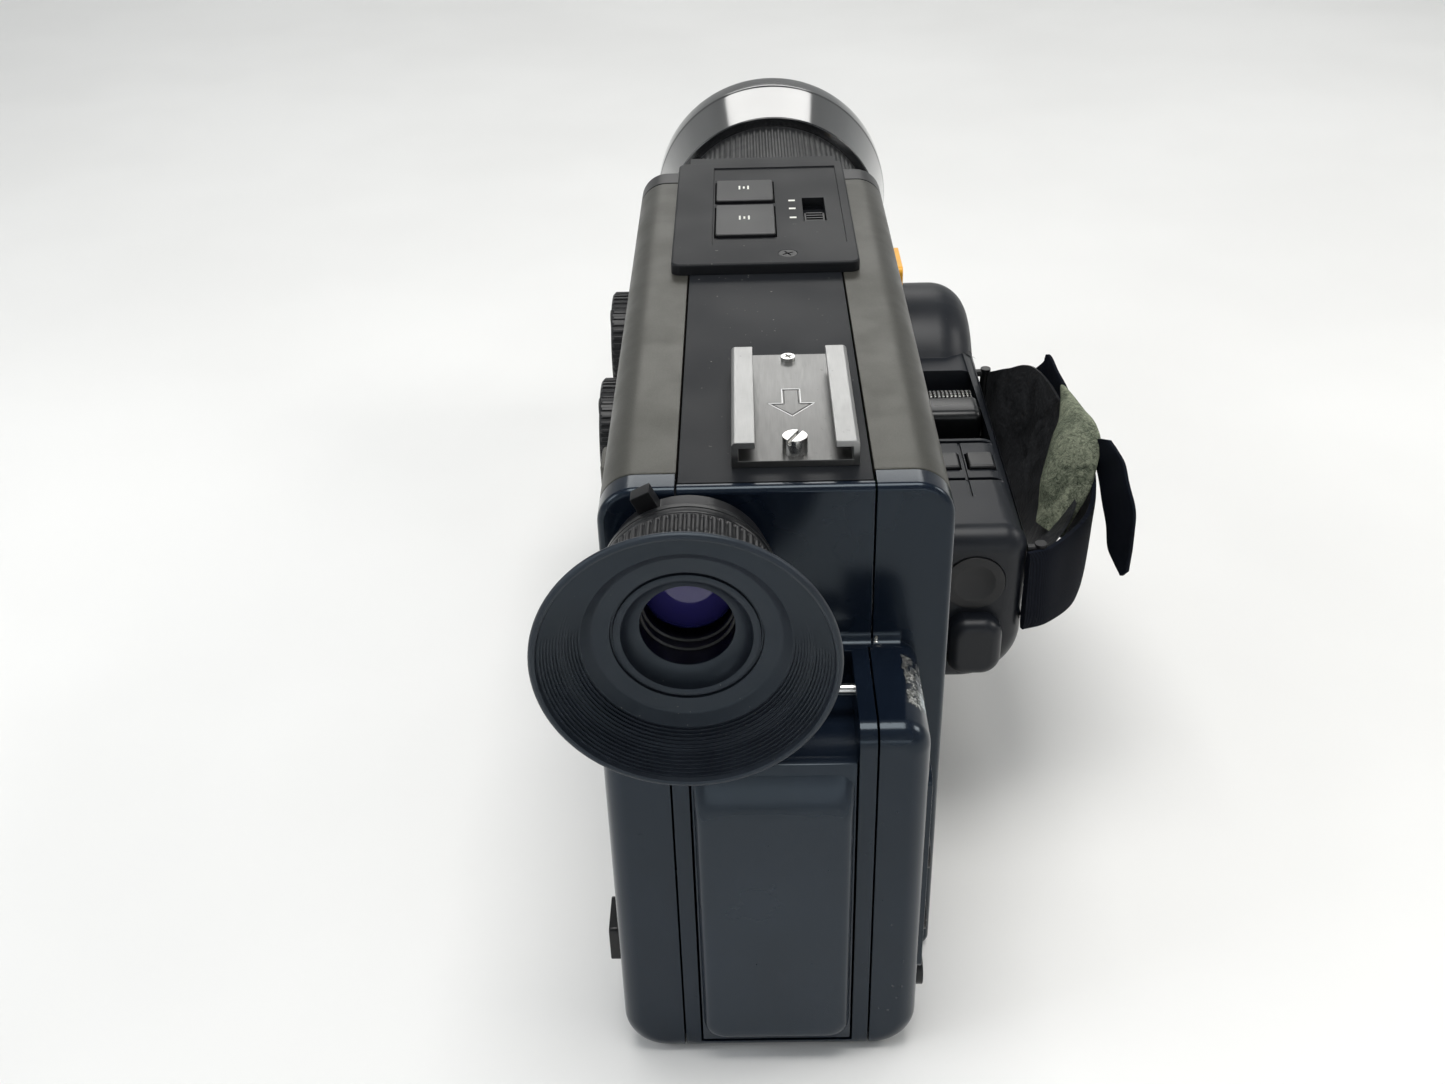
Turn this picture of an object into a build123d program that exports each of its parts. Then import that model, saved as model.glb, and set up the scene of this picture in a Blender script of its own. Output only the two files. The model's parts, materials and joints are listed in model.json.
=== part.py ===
"""A hand-held cine camera: body, zoom lens, eyepiece, folding side grip and works.

Millimetres.  X points to the camera's right, Y forward to the lens, Z up.  The origin is
the tripod socket's mouth, on the plane that the camera stands on.
"""
from build123d import *
import math
import os

# ---- Driving dimensions ---------------------------------------------------------------
# Body casing
BODY_HALF = 29.2            # half of the body's width
BODY_TOP = 105.8            # height of the top strip
TOP_RADIUS = 6.5            # rounding of the top edges
FOOT_RADIUS = 2.5           # rounding of the bottom edges
WALL = 1.8                  # casing thickness
SEAM = 0.3                  # gap between two casing pieces
BASE_THICK = 3.0
FRONT = 92.0                # front face of the body
BAND_REAR = 84.0            # rear edge of the black front band
SHELL_REAR = -54.5          # rear edge of the painted shells
REAR_FACE = -60.0           # upper rear face
STRIP_HALF = 16.0           # half of the top strip's width

# Rear block, which holds the batteries
BLOCK_REAR = -84.6
BLOCK_LEFT = -28.8
BLOCK_RIGHT = 24.1
SHELF_TOP = 75.3
BLOCK_FOOT_RADIUS = 8.0
BLOCK_TOP_RADIUS = 5.0
BLOCK_REAR_RADIUS = 3.6
COVE_RADIUS = 2.0
LEFT_SEAM = -17.8           # seams of the rear block
RIGHT_SEAM = 15.5
DOOR_LEFT = -14.9           # battery door opening
DOOR_RIGHT = 12.5
DOOR_TOP = 69.3
DOOR_FOOT = 2.8
POCKET_TOP = 66.0
NOTCH_FLOOR = 67.5
NOTCH_FRONT = -63.0
DOOR_THICK = 2.2
DOOR_RISE = 2.6             # height of the battery door's raised panel
DOOR_PANEL_Z = (6.0, 66.9)
DOOR_SLOPE = (2.0, 5.0)     # depth and height of the slope along the raised panel's top
BATTERY_LATCH_SLOT = ((-40.0, -20.0), (-75.5, -68.5), (17.4, 23.6))

# Battery magazine: six AA cells in a zigzag
CELL_RADIUS = 7.1
CELL_LENGTH = 50.0
CELL_COUNT = 6
CELL_RISE = 8.65
CELL_SWING = 5.7            # each cell's distance from the magazine's middle plane
CELL_BUTTON = (2.7, 1.2)    # radius and height of a cell's terminal button
MAGAZINE_X = (-14.5, 12.1)
MAGAZINE_Y = (-81.8, -29.4)
MAGAZINE_Z = (4.6, 63.6)

# Eyepiece
EYE = (-14.2, 92.9)         # X, Z of the finder's axis
NECK_RADIUS = 11.0
COLLAR_RADIUS = 14.4
RING_RADIUS = 14.9
SLEEVE_RADIUS = 10.4
CUP_RADIUS = 23.5
CUP_REAR = -90.1

# Lens
LENS = (3.9, 71.2)          # X, Z of the optical axis
BARREL_FRONT = 175.0
BARREL_REAR = 146.5
BARREL_FRONT_RADIUS = 33.6
BARREL_REAR_RADIUS = 30.6
CONE_FRONT = 167.0          # where the barrel's cone ends and its front collar begins
FILTER_RADIUS = 29.0
FILTER_DEPTH = 6.4
CORE_RADIUS = 23.5
CORE_BORE = 18.5
GLASS_RADIUS = 26.6         # bore that holds the front glass
FLANGE_RADIUS = 26.0
RINGS_RADIUS = 28.4         # outside of the focus ring
RIB_COUNT = 72              # ribs of the focus ring
TUBE_RADIUS = 20.0

# Accessory shoe: the standard slide is 18.6 mm wide
SHOE_X = 3.4
SHOE_WIDTH = 21.0
SHOE_INNER = 18.75
SHOE_SLOT = 13.2
SHOE_Y = (-53.4, -17.4)
SHOE_FRONT = -13.7
SHOE_PLATE = 1.2
SHOE_HEIGHT = 4.7
STOP_PIN_RADIUS = 2.1
STOP_PIN_TOP = 4.2          # its height above the body's top

# Control panel on top
PANEL_HALF = 19.7
PANEL_Y = (27.3, 90.7)
PANEL_THICK = 2.4
WIDE_BUTTON = ((-10.8, 2.8), (63.5, 77.5))
TELE_BUTTON = ((-10.8, 2.8), (42.6, 61.3))
SWITCH_WINDOW = ((9.0, 14.0), (52.0, 66.3))
PANEL_RECESS = ((-11.2, 17.6), (38.0, 87.0))
PANEL_RECESS_DEPTH = 0.35
PANEL_LIP = ((-17.0, 18.2), 94.8)   # X of the panel's front lip, and Y of its front edge
BUTTON_GAP = 0.25

# Side dials, as Y, Z of the axis
DIALS = {"front_dial": (40.0, 84.0), "rear_dial": (2.5, 81.5)}
DIAL_RADIUS = 12.0
DIAL_X = (-33.5, -29.6)
DIAL_SHAFT = 2.5
DIAL_INDEX = ((-32.2, -29.2), (-22.5, -13.5), (83.6, 88.4))
LIGHT_SLOT = ((20.0, 40.0), (62.0, 78.0), (87.1, 90.4))     # slot of the orange switch

# Film door and cartridge
FILM_DOOR_Y = (-30.0, 54.0)
FILM_DOOR_Z = (5.0, 68.0)
FILM_DOOR_THICK = 2.0
FILM_PIVOT = (-28.3, 52.5)  # X, Y of the film door's hinge
FILM_PIN = 0.5              # radius of the film door's hinge pins
FILM_PIN_Z = (3.9, 69.1)
FILM_LATCH_SLOT = ((-40.0, -20.0), (-41.5, -33.5), (34.6, 38.4))
FILM_RIBS_Z = (14.0, 58.0)
FILM_RIB = 1.6              # width and depth of each rib
WINDOW_Y = (10.0, 26.0)
WINDOW_Z = (30.0, 48.0)
CARTRIDGE = ((-8.4, 16.0), (-24.0, 51.2), (10.0, 77.3))

# Sockets on the rear block's right side, as Y, Z of each, and the raised panel round them
SOCKETS = [(-75.0, 11.0), (-75.0, 25.5), (-75.0, 40.5)]
SOCKET_RADIUS = 3.0
SOCKET_BORE = 1.8
SOCKET_X = (16.4, 25.9)
SIDE_PANEL = ((24.0, 25.0), (-80.6, -64.0), (16.5, 62.0))

# Fasteners, and the tripod bush
STRAP_BAR = (1.0, (-70.0, 72.6))        # radius, and Y, Z of the neck strap's bar
TRIPOD_BUSH = (7.0, 9.0)                # radius and height
TRIPOD_THREAD = 3.175
SCREW_HEAD = 2.0
SCREW_SHANK = 1.0
BASE_SCREWS = [(-20.0, -46.0), (20.0, -46.0), (-20.0, 76.0), (20.0, 76.0)]
SHOE_SCREWS = [(3.3, -16.1), (SHOE_X, -50.3)]
PANEL_SCREW = (4.8, 32.5)

# Works
SHUTTER = (0.0, 50.0)       # X, Z of the shutter shaft
SHUTTER_RADIUS = 24.0
DRIVE = (0.0, 26.0)         # X, Z of the drive gear
MOTOR = (15.5, 38.65)       # X, Z of the motor shaft
GEAR_Y = (62.0, 65.0)
DRIVE_TEETH = 48
SHUTTER_TEETH = 24
PINION_TEETH = 12
GEAR_MODULE = 2.0 / 3.0
SPINDLE = (2.0, 40.0)       # Y, Z of the take-up spindle
SPINDLE_RADIUS = 3.0
SHAFT_RADIUS = 2.0          # shutter and drive gear shafts
MOTOR_SHAFT = 1.2
MOTOR_RADIUS = 11.0
WALL_X = (16.4, 17.8)       # mid wall of the chassis
PLATE_Y = (60.0, 61.4)      # gear plate of the chassis
HEAD_Y = (80.0, 82.5)       # front bulkhead of the chassis
CHASSIS_HALF = 26.8
CHASSIS_FOOT = 3.4
CHASSIS_TOP = 98.0
POSTS = [(-23.5, 8.0), (23.5, 8.0), (-23.5, 62.0), (23.5, 93.0)]    # X, Z of each
GATE_Y = (52.0, 53.6)
APERTURE = (5.8, 4.2)       # width and height of the picture
RUNNING = 0.05              # radial clearance of a shaft in its bore

# Side grip
HUB = (74.0, 57.0)          # Y, Z of the grip's pivot
HUB_RADIUS = 24.0
HUB_ROUNDING = 9.0
PIVOT_RADIUS = 7.0
GRIP_X = (30.2, 50.0)
GRIP_REAR = -22.5
GRIP_Z = (36.0, 72.0)
GRIP_TOP_RADIUS = 5.0
GRIP_FOOT_RADIUS = 12.0
GRIP_REAR_RADIUS = 4.6
GRIP_WALL = 2.2
PLATE_THICK = 1.6           # inner cover of the grip
WELL_X = (32.4, 47.8)       # well for the wheel and the rocker
WELL_Y = (16.0, 48.5)
WELL_FLOOR = 60.0
WHEEL = (40.4, 65.6)        # Y, Z
WHEEL_RADIUS = 4.8
ROCKER = (31.0, 66.0)       # Y, Z
FINGER_BUTTONS = {"finger_button_inner": (34.0, 39.4), "finger_button_outer": (41.2, 46.6)}
FINGER_Y = (3.0, 9.0)
THUMB = (39.6, 61.0)        # X, Z
THUMB_RADIUS = 6.0
AXLE_RADIUS = 1.5           # axles of the wheel and the rocker
AXLE_X = (32.2, 48.8)
HEEL = ((34.5, 45.4), (-27.0, -21.0), (41.0, 54.0))
SEAMS_Y = (-1.5, 14.0)      # grooves across the grip's top
SEAM_WIDTH = 1.0
ANCHOR_X = 52.6
ANCHOR_RADIUS = 1.2
TRIGGER_Y = (39.0, 51.0)
TRIGGER_X = (35.0, 45.4)

# Hand strap
STRAP_FRONT = (51.6, 55.0)  # X, Y of the ends and the middle of the strap's outer face
STRAP_MIDDLE = (67.5, 13.0)
STRAP_REAR = (51.6, -16.0)
STRAP_THICK = 3.0
STRAP_Z = (44.0, 76.0)
ANCHOR_Z = (50.5, 66.5)


# ---- Helpers --------------------------------------------------------------------------
def block(x, y, z):
    """A box between the given lowest and highest X, Y and Z."""
    size = [high - low for low, high in (x, y, z)]
    middle = [(high + low) / 2 for low, high in (x, y, z)]
    return Pos(*middle) * Box(*size)


def rod_x(radius, x, y, z):
    """A cylinder along X, from x[0] to x[1], about the line through y, z."""
    return Pos(sum(x) / 2, y, z) * Rot(0, 90, 0) * Cylinder(radius, x[1] - x[0])


def rod_y(radius, axis, y):
    """A cylinder along Y, from y[0] to y[1], about the line through axis = X, Z."""
    return Pos(axis[0], sum(y) / 2, axis[1]) * Rot(90, 0, 0) * Cylinder(radius, y[1] - y[0])


def rod_z(radius, x, y, z):
    """A cylinder along Z, from z[0] to z[1]."""
    return Pos(x, y, sum(z) / 2) * Cylinder(radius, z[1] - z[0])


def turned_y(points, axis):
    """A solid turned about the Y line through axis = X, Z, from (radius, y) points."""
    outline = make_face(Polyline(*[(radius, y, 0) for radius, y in points], close=True))
    return Pos(axis[0], 0, axis[1]) * revolve(outline, Axis.Y)


def glass(radius, axis, flat, top, rise):
    """A lens about a Y line: flat at one end, and domed by rise up to top at the other."""
    sphere = (radius ** 2 + rise ** 2) / (2 * rise)
    sag = sphere - math.sqrt(sphere ** 2 - radius ** 2 / 4)
    way = 1 if top > flat else -1
    rim = top - way * rise
    outline = make_face([Line((0, flat), (radius, flat)), Line((radius, flat), (radius, rim)),
                         ThreePointArc((radius, rim), (radius / 2, top - way * sag), (0, top)),
                         Line((0, top), (0, flat))])
    return Pos(axis[0], 0, axis[1]) * revolve(outline, Axis.Y)


def rounded(solid, axis, radius, pick=None):
    """The solid with its edges along one axis rounded; pick chooses among them."""
    edges = solid.edges().filter_by(axis)
    if pick:
        edges = [edge for edge in edges if pick(edge.center())]
    return fillet(edges, radius)


def grown(span, amount):
    """A span made longer by amount at each end."""
    return (span[0] - amount, span[1] + amount)


def plan_plate(points, z):
    """A plate with the given outline in X and Y, between z[0] and z[1]."""
    outline = make_face(Polyline(*[(x, y, z[0]) for x, y in points], close=True))
    return extrude(outline, z[1] - z[0], dir=(0, 0, 1))


def gear(teeth, axis, y, bore, turn=0.0):
    """A spur gear about a Y line, with straight-flanked teeth and a round bore."""
    pitch = GEAR_MODULE * teeth / 2
    root = pitch - 1.2 * GEAR_MODULE
    tip = pitch + 0.9 * GEAR_MODULE
    step = 2 * math.pi / teeth
    shares = ((-0.32, root), (-0.12, tip), (0.12, tip), (0.32, root))
    points = []
    for tooth in range(teeth):
        for share, radius in shares:
            angle = math.radians(turn) + step * (tooth + share)
            points.append((axis[0] + radius * math.cos(angle), y[0],
                           axis[1] + radius * math.sin(angle)))
    outline = make_face(Polyline(*points, close=True))
    wheel = extrude(outline, y[1] - y[0], dir=(0, 1, 0))
    return wheel - rod_y(bore, axis, grown(y, 1))


# ---- Body casing ----------------------------------------------------------------------
def casing(y, inset=0.0):
    """A length of the body's outer form, drawn in by inset all round."""
    half = BODY_HALF - inset
    solid = block((-half, half), y, (inset, BODY_TOP - inset))
    solid = rounded(solid, Axis.Y, TOP_RADIUS - inset, lambda c: c.Z > BODY_TOP / 2)
    return rounded(solid, Axis.Y, FOOT_RADIUS - inset, lambda c: c.Z < inset + 0.01)


def side_shell(side):
    """A painted side shell that wraps over the top edge; side is -1 left, 1 right."""
    span = (SHELL_REAR, BAND_REAR)
    skin = casing(span) - casing(grown(span, 1), WALL)
    inner = STRIP_HALF + SEAM / 2
    reach = sorted((side * inner, side * (BODY_HALF + 1)))
    return skin & block(reach, span, (BASE_THICK + SEAM, BODY_TOP + 1))


def left_shell():
    """The left shell, with the film door's opening, the dial holes and the dial index."""
    shell = side_shell(-1)
    shell -= block((-40, -20), grown(FILM_DOOR_Y, SEAM), grown(FILM_DOOR_Z, SEAM))
    for y, z in DIALS.values():
        shell -= rod_x(DIAL_SHAFT + RUNNING, (-40, -20), y, z)
    shell -= block(*FILM_LATCH_SLOT)
    shell -= rod_z(FILM_PIN + RUNNING, *FILM_PIVOT, grown(FILM_PIN_Z, 0.2))
    index = rounded(block(*DIAL_INDEX), Axis.Z, 1.2, lambda c: c.X < -31)
    return shell + index


def right_shell():
    """The right shell, with the grip pivot's hole and the slot of the orange switch."""
    shell = side_shell(1)
    shell -= rod_x(PIVOT_RADIUS + RUNNING, (20, 40), *HUB)
    return shell - block(*LIGHT_SLOT)


def base_plate():
    """The floor of the body, with the tripod bush's hole."""
    span = (SHELL_REAR, BAND_REAR)
    plate = casing(span) & block((-40, 40), span, (-1, BASE_THICK))
    plate -= rod_z(TRIPOD_BUSH[0] + RUNNING, 0, 0, (-1, 5))
    for x, y in BASE_SCREWS:
        plate -= rod_z(SCREW_HEAD, x, y, (-1, 1.2))
        plate -= rod_z(SCREW_SHANK, x, y, (-1, 5))
    return plate


def front_panel():
    """The black front cap of the body, with the lens opening."""
    span = (BAND_REAR + SEAM, FRONT)
    cap = casing(span)
    cap = fillet(cap.faces().sort_by(Axis.Y)[-1].edges(), 1.2)
    cap -= casing((BAND_REAR, FRONT - WALL), WALL)
    return cap - rod_y(TUBE_RADIUS + RUNNING, LENS, (80, 100))


def top_strip():
    """The black strip along the top, with the wells under the panel's buttons."""
    half = STRIP_HALF - SEAM / 2
    strip = block((-half, half), (REAR_FACE + WALL + SEAM, BAND_REAR),
                  (BODY_TOP - WALL, BODY_TOP))
    for x, y in (WIDE_BUTTON, TELE_BUTTON, SWITCH_WINDOW):
        strip -= block(x, y, (BODY_TOP - 0.9, BODY_TOP + 1))
    for x, y in SHOE_SCREWS:
        strip -= rod_z(SCREW_SHANK, x, y, (100, 110))
    return strip - rod_z(SCREW_SHANK, *PANEL_SCREW, (100, 110))


def control_panel():
    """The raised panel on top, with its windows, step and front lip."""
    low = BODY_TOP
    high = BODY_TOP + PANEL_THICK
    plate = block((-PANEL_HALF, PANEL_HALF), PANEL_Y, (low, high))
    plate = rounded(plate, Axis.Z, 2.0)
    plate = fillet(plate.faces().sort_by(Axis.Z)[-1].edges(), 0.5)
    plate -= block(*PANEL_RECESS, (high - PANEL_RECESS_DEPTH, high + 1))
    for x, y in (WIDE_BUTTON, TELE_BUTTON, SWITCH_WINDOW):
        plate -= block(x, y, (low - 1, high + 1))
    plate -= rod_z(SCREW_HEAD, *PANEL_SCREW, (high - 0.8, high + 1))
    plate -= rod_z(SCREW_SHANK, *PANEL_SCREW, (low - 1, high + 1))
    lip = block(PANEL_LIP[0], (PANEL_Y[1] - 1, PANEL_LIP[1]), (low + 0.1, high - 0.2))
    return plate + lip


# ---- Rear covers ----------------------------------------------------------------------
def rear_block(inset=0.0):
    """The outer form of the rear block, drawn in by inset all round."""
    solid = block((BLOCK_LEFT + inset, BLOCK_RIGHT - inset), (BLOCK_REAR + inset, -58.0),
                  (inset, SHELF_TOP - inset))
    solid = rounded(solid, Axis.Y, BLOCK_FOOT_RADIUS - inset, lambda c: c.Z < 20)
    solid = rounded(solid, Axis.Y, BLOCK_TOP_RADIUS - inset, lambda c: c.Z > SHELF_TOP - 3)
    return fillet(solid.faces().sort_by(Axis.Y)[0].edges(), BLOCK_REAR_RADIUS - inset)


def rear_form():
    """The whole rear casing as one solid form, before it is split at its seams."""
    upper = casing((REAR_FACE, SHELL_REAR - SEAM))
    upper = fillet(upper.faces().sort_by(Axis.Y)[0].edges(), 1.2)
    cove = block((-23.5, 21.0), (REAR_FACE - COVE_RADIUS, REAR_FACE + 1),
                 (SHELF_TOP - 1, SHELF_TOP + COVE_RADIUS))
    cove -= rod_x(COVE_RADIUS, (-40, 40), REAR_FACE - COVE_RADIUS, SHELF_TOP + COVE_RADIUS)
    form = upper + rear_block() + cove
    form -= block((DOOR_LEFT, DOOR_RIGHT), (-100, NOTCH_FRONT), (NOTCH_FLOOR, SHELF_TOP + 20))
    return form - rod_y(NECK_RADIUS + RUNNING, EYE, (-70, -50))


def rear_region(upper, lower):
    """The space between two X limits, which differ above and below the shelf."""
    above = block(upper, (-100, 0), (SHELF_TOP, 120))
    below = block(lower, (-100, 0), (-1, SHELF_TOP))
    return above + below


def rear_cavity():
    """The room inside the rear casing's side covers."""
    return rear_block(WALL) + casing((REAR_FACE + WALL, -50), WALL)


def rear_left_cover():
    """The left rear cover, with the slot of the battery door's latch."""
    region = rear_region((-40, -STRIP_HALF - SEAM), (-40, LEFT_SEAM - SEAM / 2))
    cover = (rear_form() & region) - rear_cavity()
    return cover - block(*BATTERY_LATCH_SLOT)


def rear_right_cover():
    """The right rear cover, with the raised panel and the holes of the sockets."""
    region = rear_region((STRIP_HALF + SEAM, 40), (RIGHT_SEAM + SEAM / 2, 40))
    cover = (rear_form() & region) - rear_cavity()
    cover += rounded(block(*SIDE_PANEL), Axis.X, 2.0)
    for y, z in SOCKETS:
        cover -= rod_x(SOCKET_RADIUS + RUNNING, (20, 40), y, z)
    return cover


def rear_centre_frame():
    """The frame between the rear covers: battery pocket, notch and finder wall."""
    region = rear_region((-STRIP_HALF, STRIP_HALF), (LEFT_SEAM + SEAM / 2, RIGHT_SEAM - SEAM / 2))
    frame = rear_form() & region
    frame -= casing((REAR_FACE + WALL, -50), WALL) & block((-40, 40), (-60, -40), (78, 120))
    frame -= block((-20, 20), (REAR_FACE + WALL, -50), (BODY_TOP - WALL - 0.1, 120))
    frame -= block((DOOR_LEFT, DOOR_RIGHT), (-100, -40), (DOOR_FOOT, POCKET_TOP))
    frame -= block((DOOR_LEFT, DOOR_RIGHT), (-100, BLOCK_REAR + DOOR_THICK + 0.2),
                   (DOOR_FOOT, DOOR_TOP + 0.3))
    return frame - rod_x(STRAP_BAR[0], (DOOR_LEFT - 1.4, DOOR_RIGHT + 1.4), *STRAP_BAR[1])


def strap_bar():
    """The steel bar across the notch, for a neck strap."""
    return rod_x(STRAP_BAR[0], (DOOR_LEFT - 1.4, DOOR_RIGHT + 1.4), *STRAP_BAR[1])


def battery_door():
    """The battery door, with its raised and rounded panel."""
    x = (DOOR_LEFT + SEAM, DOOR_RIGHT - SEAM)
    plate = block(x, (BLOCK_REAR, BLOCK_REAR + DOOR_THICK), (3.4, DOOR_TOP - 0.3))
    plate = rounded(plate, Axis.X, 1.0, lambda c: c.Z < 10)
    crest = BLOCK_REAR - DOOR_RISE
    bump = block(grown(x, -SEAM), (crest, BLOCK_REAR + 1), DOOR_PANEL_Z)
    top_edge = bump.edges().filter_by(Axis.X).group_by(Axis.Y)[0].sort_by(Axis.Z)[-1:]
    bump = chamfer(top_edge, *DOOR_SLOPE, reference=bump.faces().sort_by(Axis.Z)[-1])
    bump = rounded(bump, Axis.Y, 3.0, lambda c: c.Z < 10)
    bump = fillet(bump.faces().sort_by(Axis.Y)[0].edges(), 1.4)
    return plate + bump


def battery_latch():
    """The sliding release of the battery door, on the left."""
    knob = rounded(block((-31.2, -29.1), (-76.5, -67.5), (15.4, 23.4)), Axis.X, 1.0)
    stem = block((-29.2, -25.0), (-75.0, -69.0), (17.6, 21.2))
    return knob + stem


def battery_magazine():
    """The magazine that the six cells lie in."""
    holder = block(MAGAZINE_X, MAGAZINE_Y, MAGAZINE_Z)
    for axis in cell_axes():
        holder -= rod_y(CELL_RADIUS + 0.1, axis, grown(cell_span(), 0.1))
    return holder


def cell_axes():
    """X and Z of each cell's axis, in a zigzag from the bottom up."""
    middle = sum(MAGAZINE_X) / 2
    lowest = sum(MAGAZINE_Z) / 2 - CELL_RISE * (CELL_COUNT - 1) / 2
    return [(middle + CELL_SWING * (-1) ** n, lowest + CELL_RISE * n) for n in range(CELL_COUNT)]


def cell_span():
    """The cells' extent along Y."""
    middle = sum(MAGAZINE_Y) / 2
    return (middle - CELL_LENGTH / 2, middle + CELL_LENGTH / 2)


def battery_cells():
    """Six AA cells, each with its terminal button."""
    low, high = cell_span()
    radius, height = CELL_BUTTON
    cells = []
    for axis in cell_axes():
        jacket = rod_y(CELL_RADIUS, axis, (low, high - height))
        cells.append(jacket + rod_y(radius, axis, (high - 2, high)))
    return Compound(children=cells)


# ---- Eyepiece -------------------------------------------------------------------------
def finder_tube():
    """The finder's tube, with the collar and the sleeve that carry the eyepiece."""
    outline = [(7.6, -79.0), (SLEEVE_RADIUS, -79.0), (SLEEVE_RADIUS, -69.2),
               (COLLAR_RADIUS, -69.2), (COLLAR_RADIUS, -66.2), (NECK_RADIUS, -66.2),
               (NECK_RADIUS, -52.0), (9.0, -52.0), (9.0, 56.0), (7.6, 56.0)]
    return turned_y(outline, EYE)


def eyepiece_lens():
    """The eyepiece's lens, thicker in the middle."""
    return glass(7.55, EYE, -66.5, -71.6, 1.9)


def eyecup():
    """The rubber eyecup, a flared ring on the sleeve."""
    outline = [(SLEEVE_RADIUS + 0.05, -76.2), (14.2, -76.2), (15.6, -80.5), (17.0, -84.6),
               (22.9, -88.9), (CUP_RADIUS, -89.5), (CUP_RADIUS - 0.1, CUP_REAR),
               (22.5, -90.0), (14.6, -82.4), (11.4, -82.0), (SLEEVE_RADIUS + 0.05, -81.6)]
    return turned_y(outline, EYE)


def dioptre_ring():
    """The knurled ring that focuses the eyepiece."""
    outline = [(SLEEVE_RADIUS + RUNNING, -75.6), (RING_RADIUS, -75.6), (RING_RADIUS, -69.6),
               (SLEEVE_RADIUS + RUNNING, -69.6)]
    ring = turned_y(outline, EYE)
    count = 60
    for n in range(count):
        angle = 360.0 * n / count
        groove = Pos(RING_RADIUS + 0.25, 0, 0) * Box(1.2, 8.0, 0.6)
        ring -= Pos(EYE[0], -72.6, EYE[1]) * Rot(0, angle, 0) * groove
    return ring


def eyepiece_lever():
    """The lever ring that closes the finder's blind, ahead of the collar."""
    y = (-65.8, -62.0)
    ring = rod_y(13.2, EYE, y) - rod_y(NECK_RADIUS + RUNNING, EYE, grown(y, 1))
    tab = Pos(14.6, 0, 0) * Box(4.4, 3.0, 3.4)
    lean = -116.0
    return ring + Pos(EYE[0], sum(y) / 2, EYE[1]) * Rot(0, lean, 0) * tab


# ---- Lens -----------------------------------------------------------------------------
def lens_tube():
    """The fixed lens tube: it passes the front panel and carries the turning rings."""
    outline = [(CORE_BORE, 70.0), (TUBE_RADIUS, 70.0), (TUBE_RADIUS, FRONT + 0.2),
               (FLANGE_RADIUS, FRONT + 0.2), (FLANGE_RADIUS, 98.0), (CORE_RADIUS, 98.0),
               (CORE_RADIUS, 146.0), (CORE_BORE, 146.0)]
    return turned_y(outline, LENS)


def rear_lens_group():
    """The fixed rear glass, inside the lens tube."""
    return glass(CORE_BORE - RUNNING, LENS, 84.0, 76.0, 4.0)


def zoom_ring():
    """The zoom ring, with its hand lever."""
    outline = [(CORE_RADIUS + RUNNING, 98.6), (27.0, 98.6), (27.0, 114.0),
               (CORE_RADIUS + RUNNING, 114.0)]
    ring = turned_y(outline, LENS)
    lever = Pos(29.5, 0, 0) * Rot(0, 90, 0) * Cylinder(1.8, 8.0)
    return ring + Pos(LENS[0], 106.3, LENS[1]) * Rot(0, -215, 0) * lever


def focus_ring():
    """The ribbed focus ring."""
    outline = [(CORE_RADIUS + RUNNING, 114.6), (RINGS_RADIUS, 114.6), (RINGS_RADIUS, BARREL_REAR),
               (CORE_RADIUS + RUNNING, BARREL_REAR)]
    ring = turned_y(outline, LENS)
    groove = Pos(RINGS_RADIUS, 0, 0) * Box(1.2, 28.0, 1.2)
    for n in range(RIB_COUNT):
        ring -= Pos(LENS[0], 131.0, LENS[1]) * Rot(0, 360.0 * n / RIB_COUNT, 0) * groove
    return ring


def front_barrel():
    """The conical front barrel, which turns with the focus ring."""
    front = BARREL_FRONT
    outline = [(24.0, BARREL_REAR), (BARREL_REAR_RADIUS, BARREL_REAR),
               (BARREL_FRONT_RADIUS, CONE_FRONT), (BARREL_FRONT_RADIUS, front),
               (FILTER_RADIUS + 1.0, front),
               (FILTER_RADIUS, front - 1.0), (FILTER_RADIUS, front - FILTER_DEPTH),
               (GLASS_RADIUS, front - FILTER_DEPTH), (GLASS_RADIUS, front - 16.0),
               (24.0, front - 16.0)]
    return turned_y(outline, LENS)


def front_element():
    """The front glass, domed towards the subject."""
    return glass(GLASS_RADIUS - RUNNING, LENS, BARREL_FRONT - 16.0, BARREL_FRONT - 7.5, 6.0)


# ---- Top fittings ---------------------------------------------------------------------
def accessory_shoe():
    """The accessory shoe: a folded plate with two lips and an engraved arrow."""
    low = BODY_TOP
    half = SHOE_WIDTH / 2
    shoe = block((SHOE_X - half, SHOE_X + half), SHOE_Y, (low, low + SHOE_HEIGHT))
    shoe = rounded(shoe, Axis.Y, 0.8, lambda c: c.Z > low + 1)
    gap = (low + SHOE_PLATE, low + SHOE_HEIGHT - SHOE_PLATE)
    inner = SHOE_INNER / 2
    shoe -= block((SHOE_X - inner, SHOE_X + inner), grown(SHOE_Y, 1), gap)
    slot = SHOE_SLOT / 2
    shoe -= block((SHOE_X - slot, SHOE_X + slot), grown(SHOE_Y, 1), (gap[0], low + 10))
    shoe += block((SHOE_X - half + 1.2, SHOE_X + half - 1.2), (SHOE_Y[1] - 1, SHOE_FRONT),
                  (low, low + SHOE_PLATE))
    for x, y in SHOE_SCREWS:
        shoe -= rod_z(SCREW_SHANK, x, y, (low - 1, low + 10))
    arrow = [(-1.6, -27.8), (1.6, -27.8), (1.6, -33.2), (4.05, -33.2), (0.0, -38.0),
             (-4.05, -33.2), (-1.6, -33.2)]
    outer = make_face(Polyline(*[(x, y, 0) for x, y in arrow], close=True))
    line = outer - offset(outer, -0.35)
    depth = 0.15
    return shoe - Pos(SHOE_X, 0, gap[0] - depth) * extrude(line, 1.0, dir=(0, 0, 1))


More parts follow.
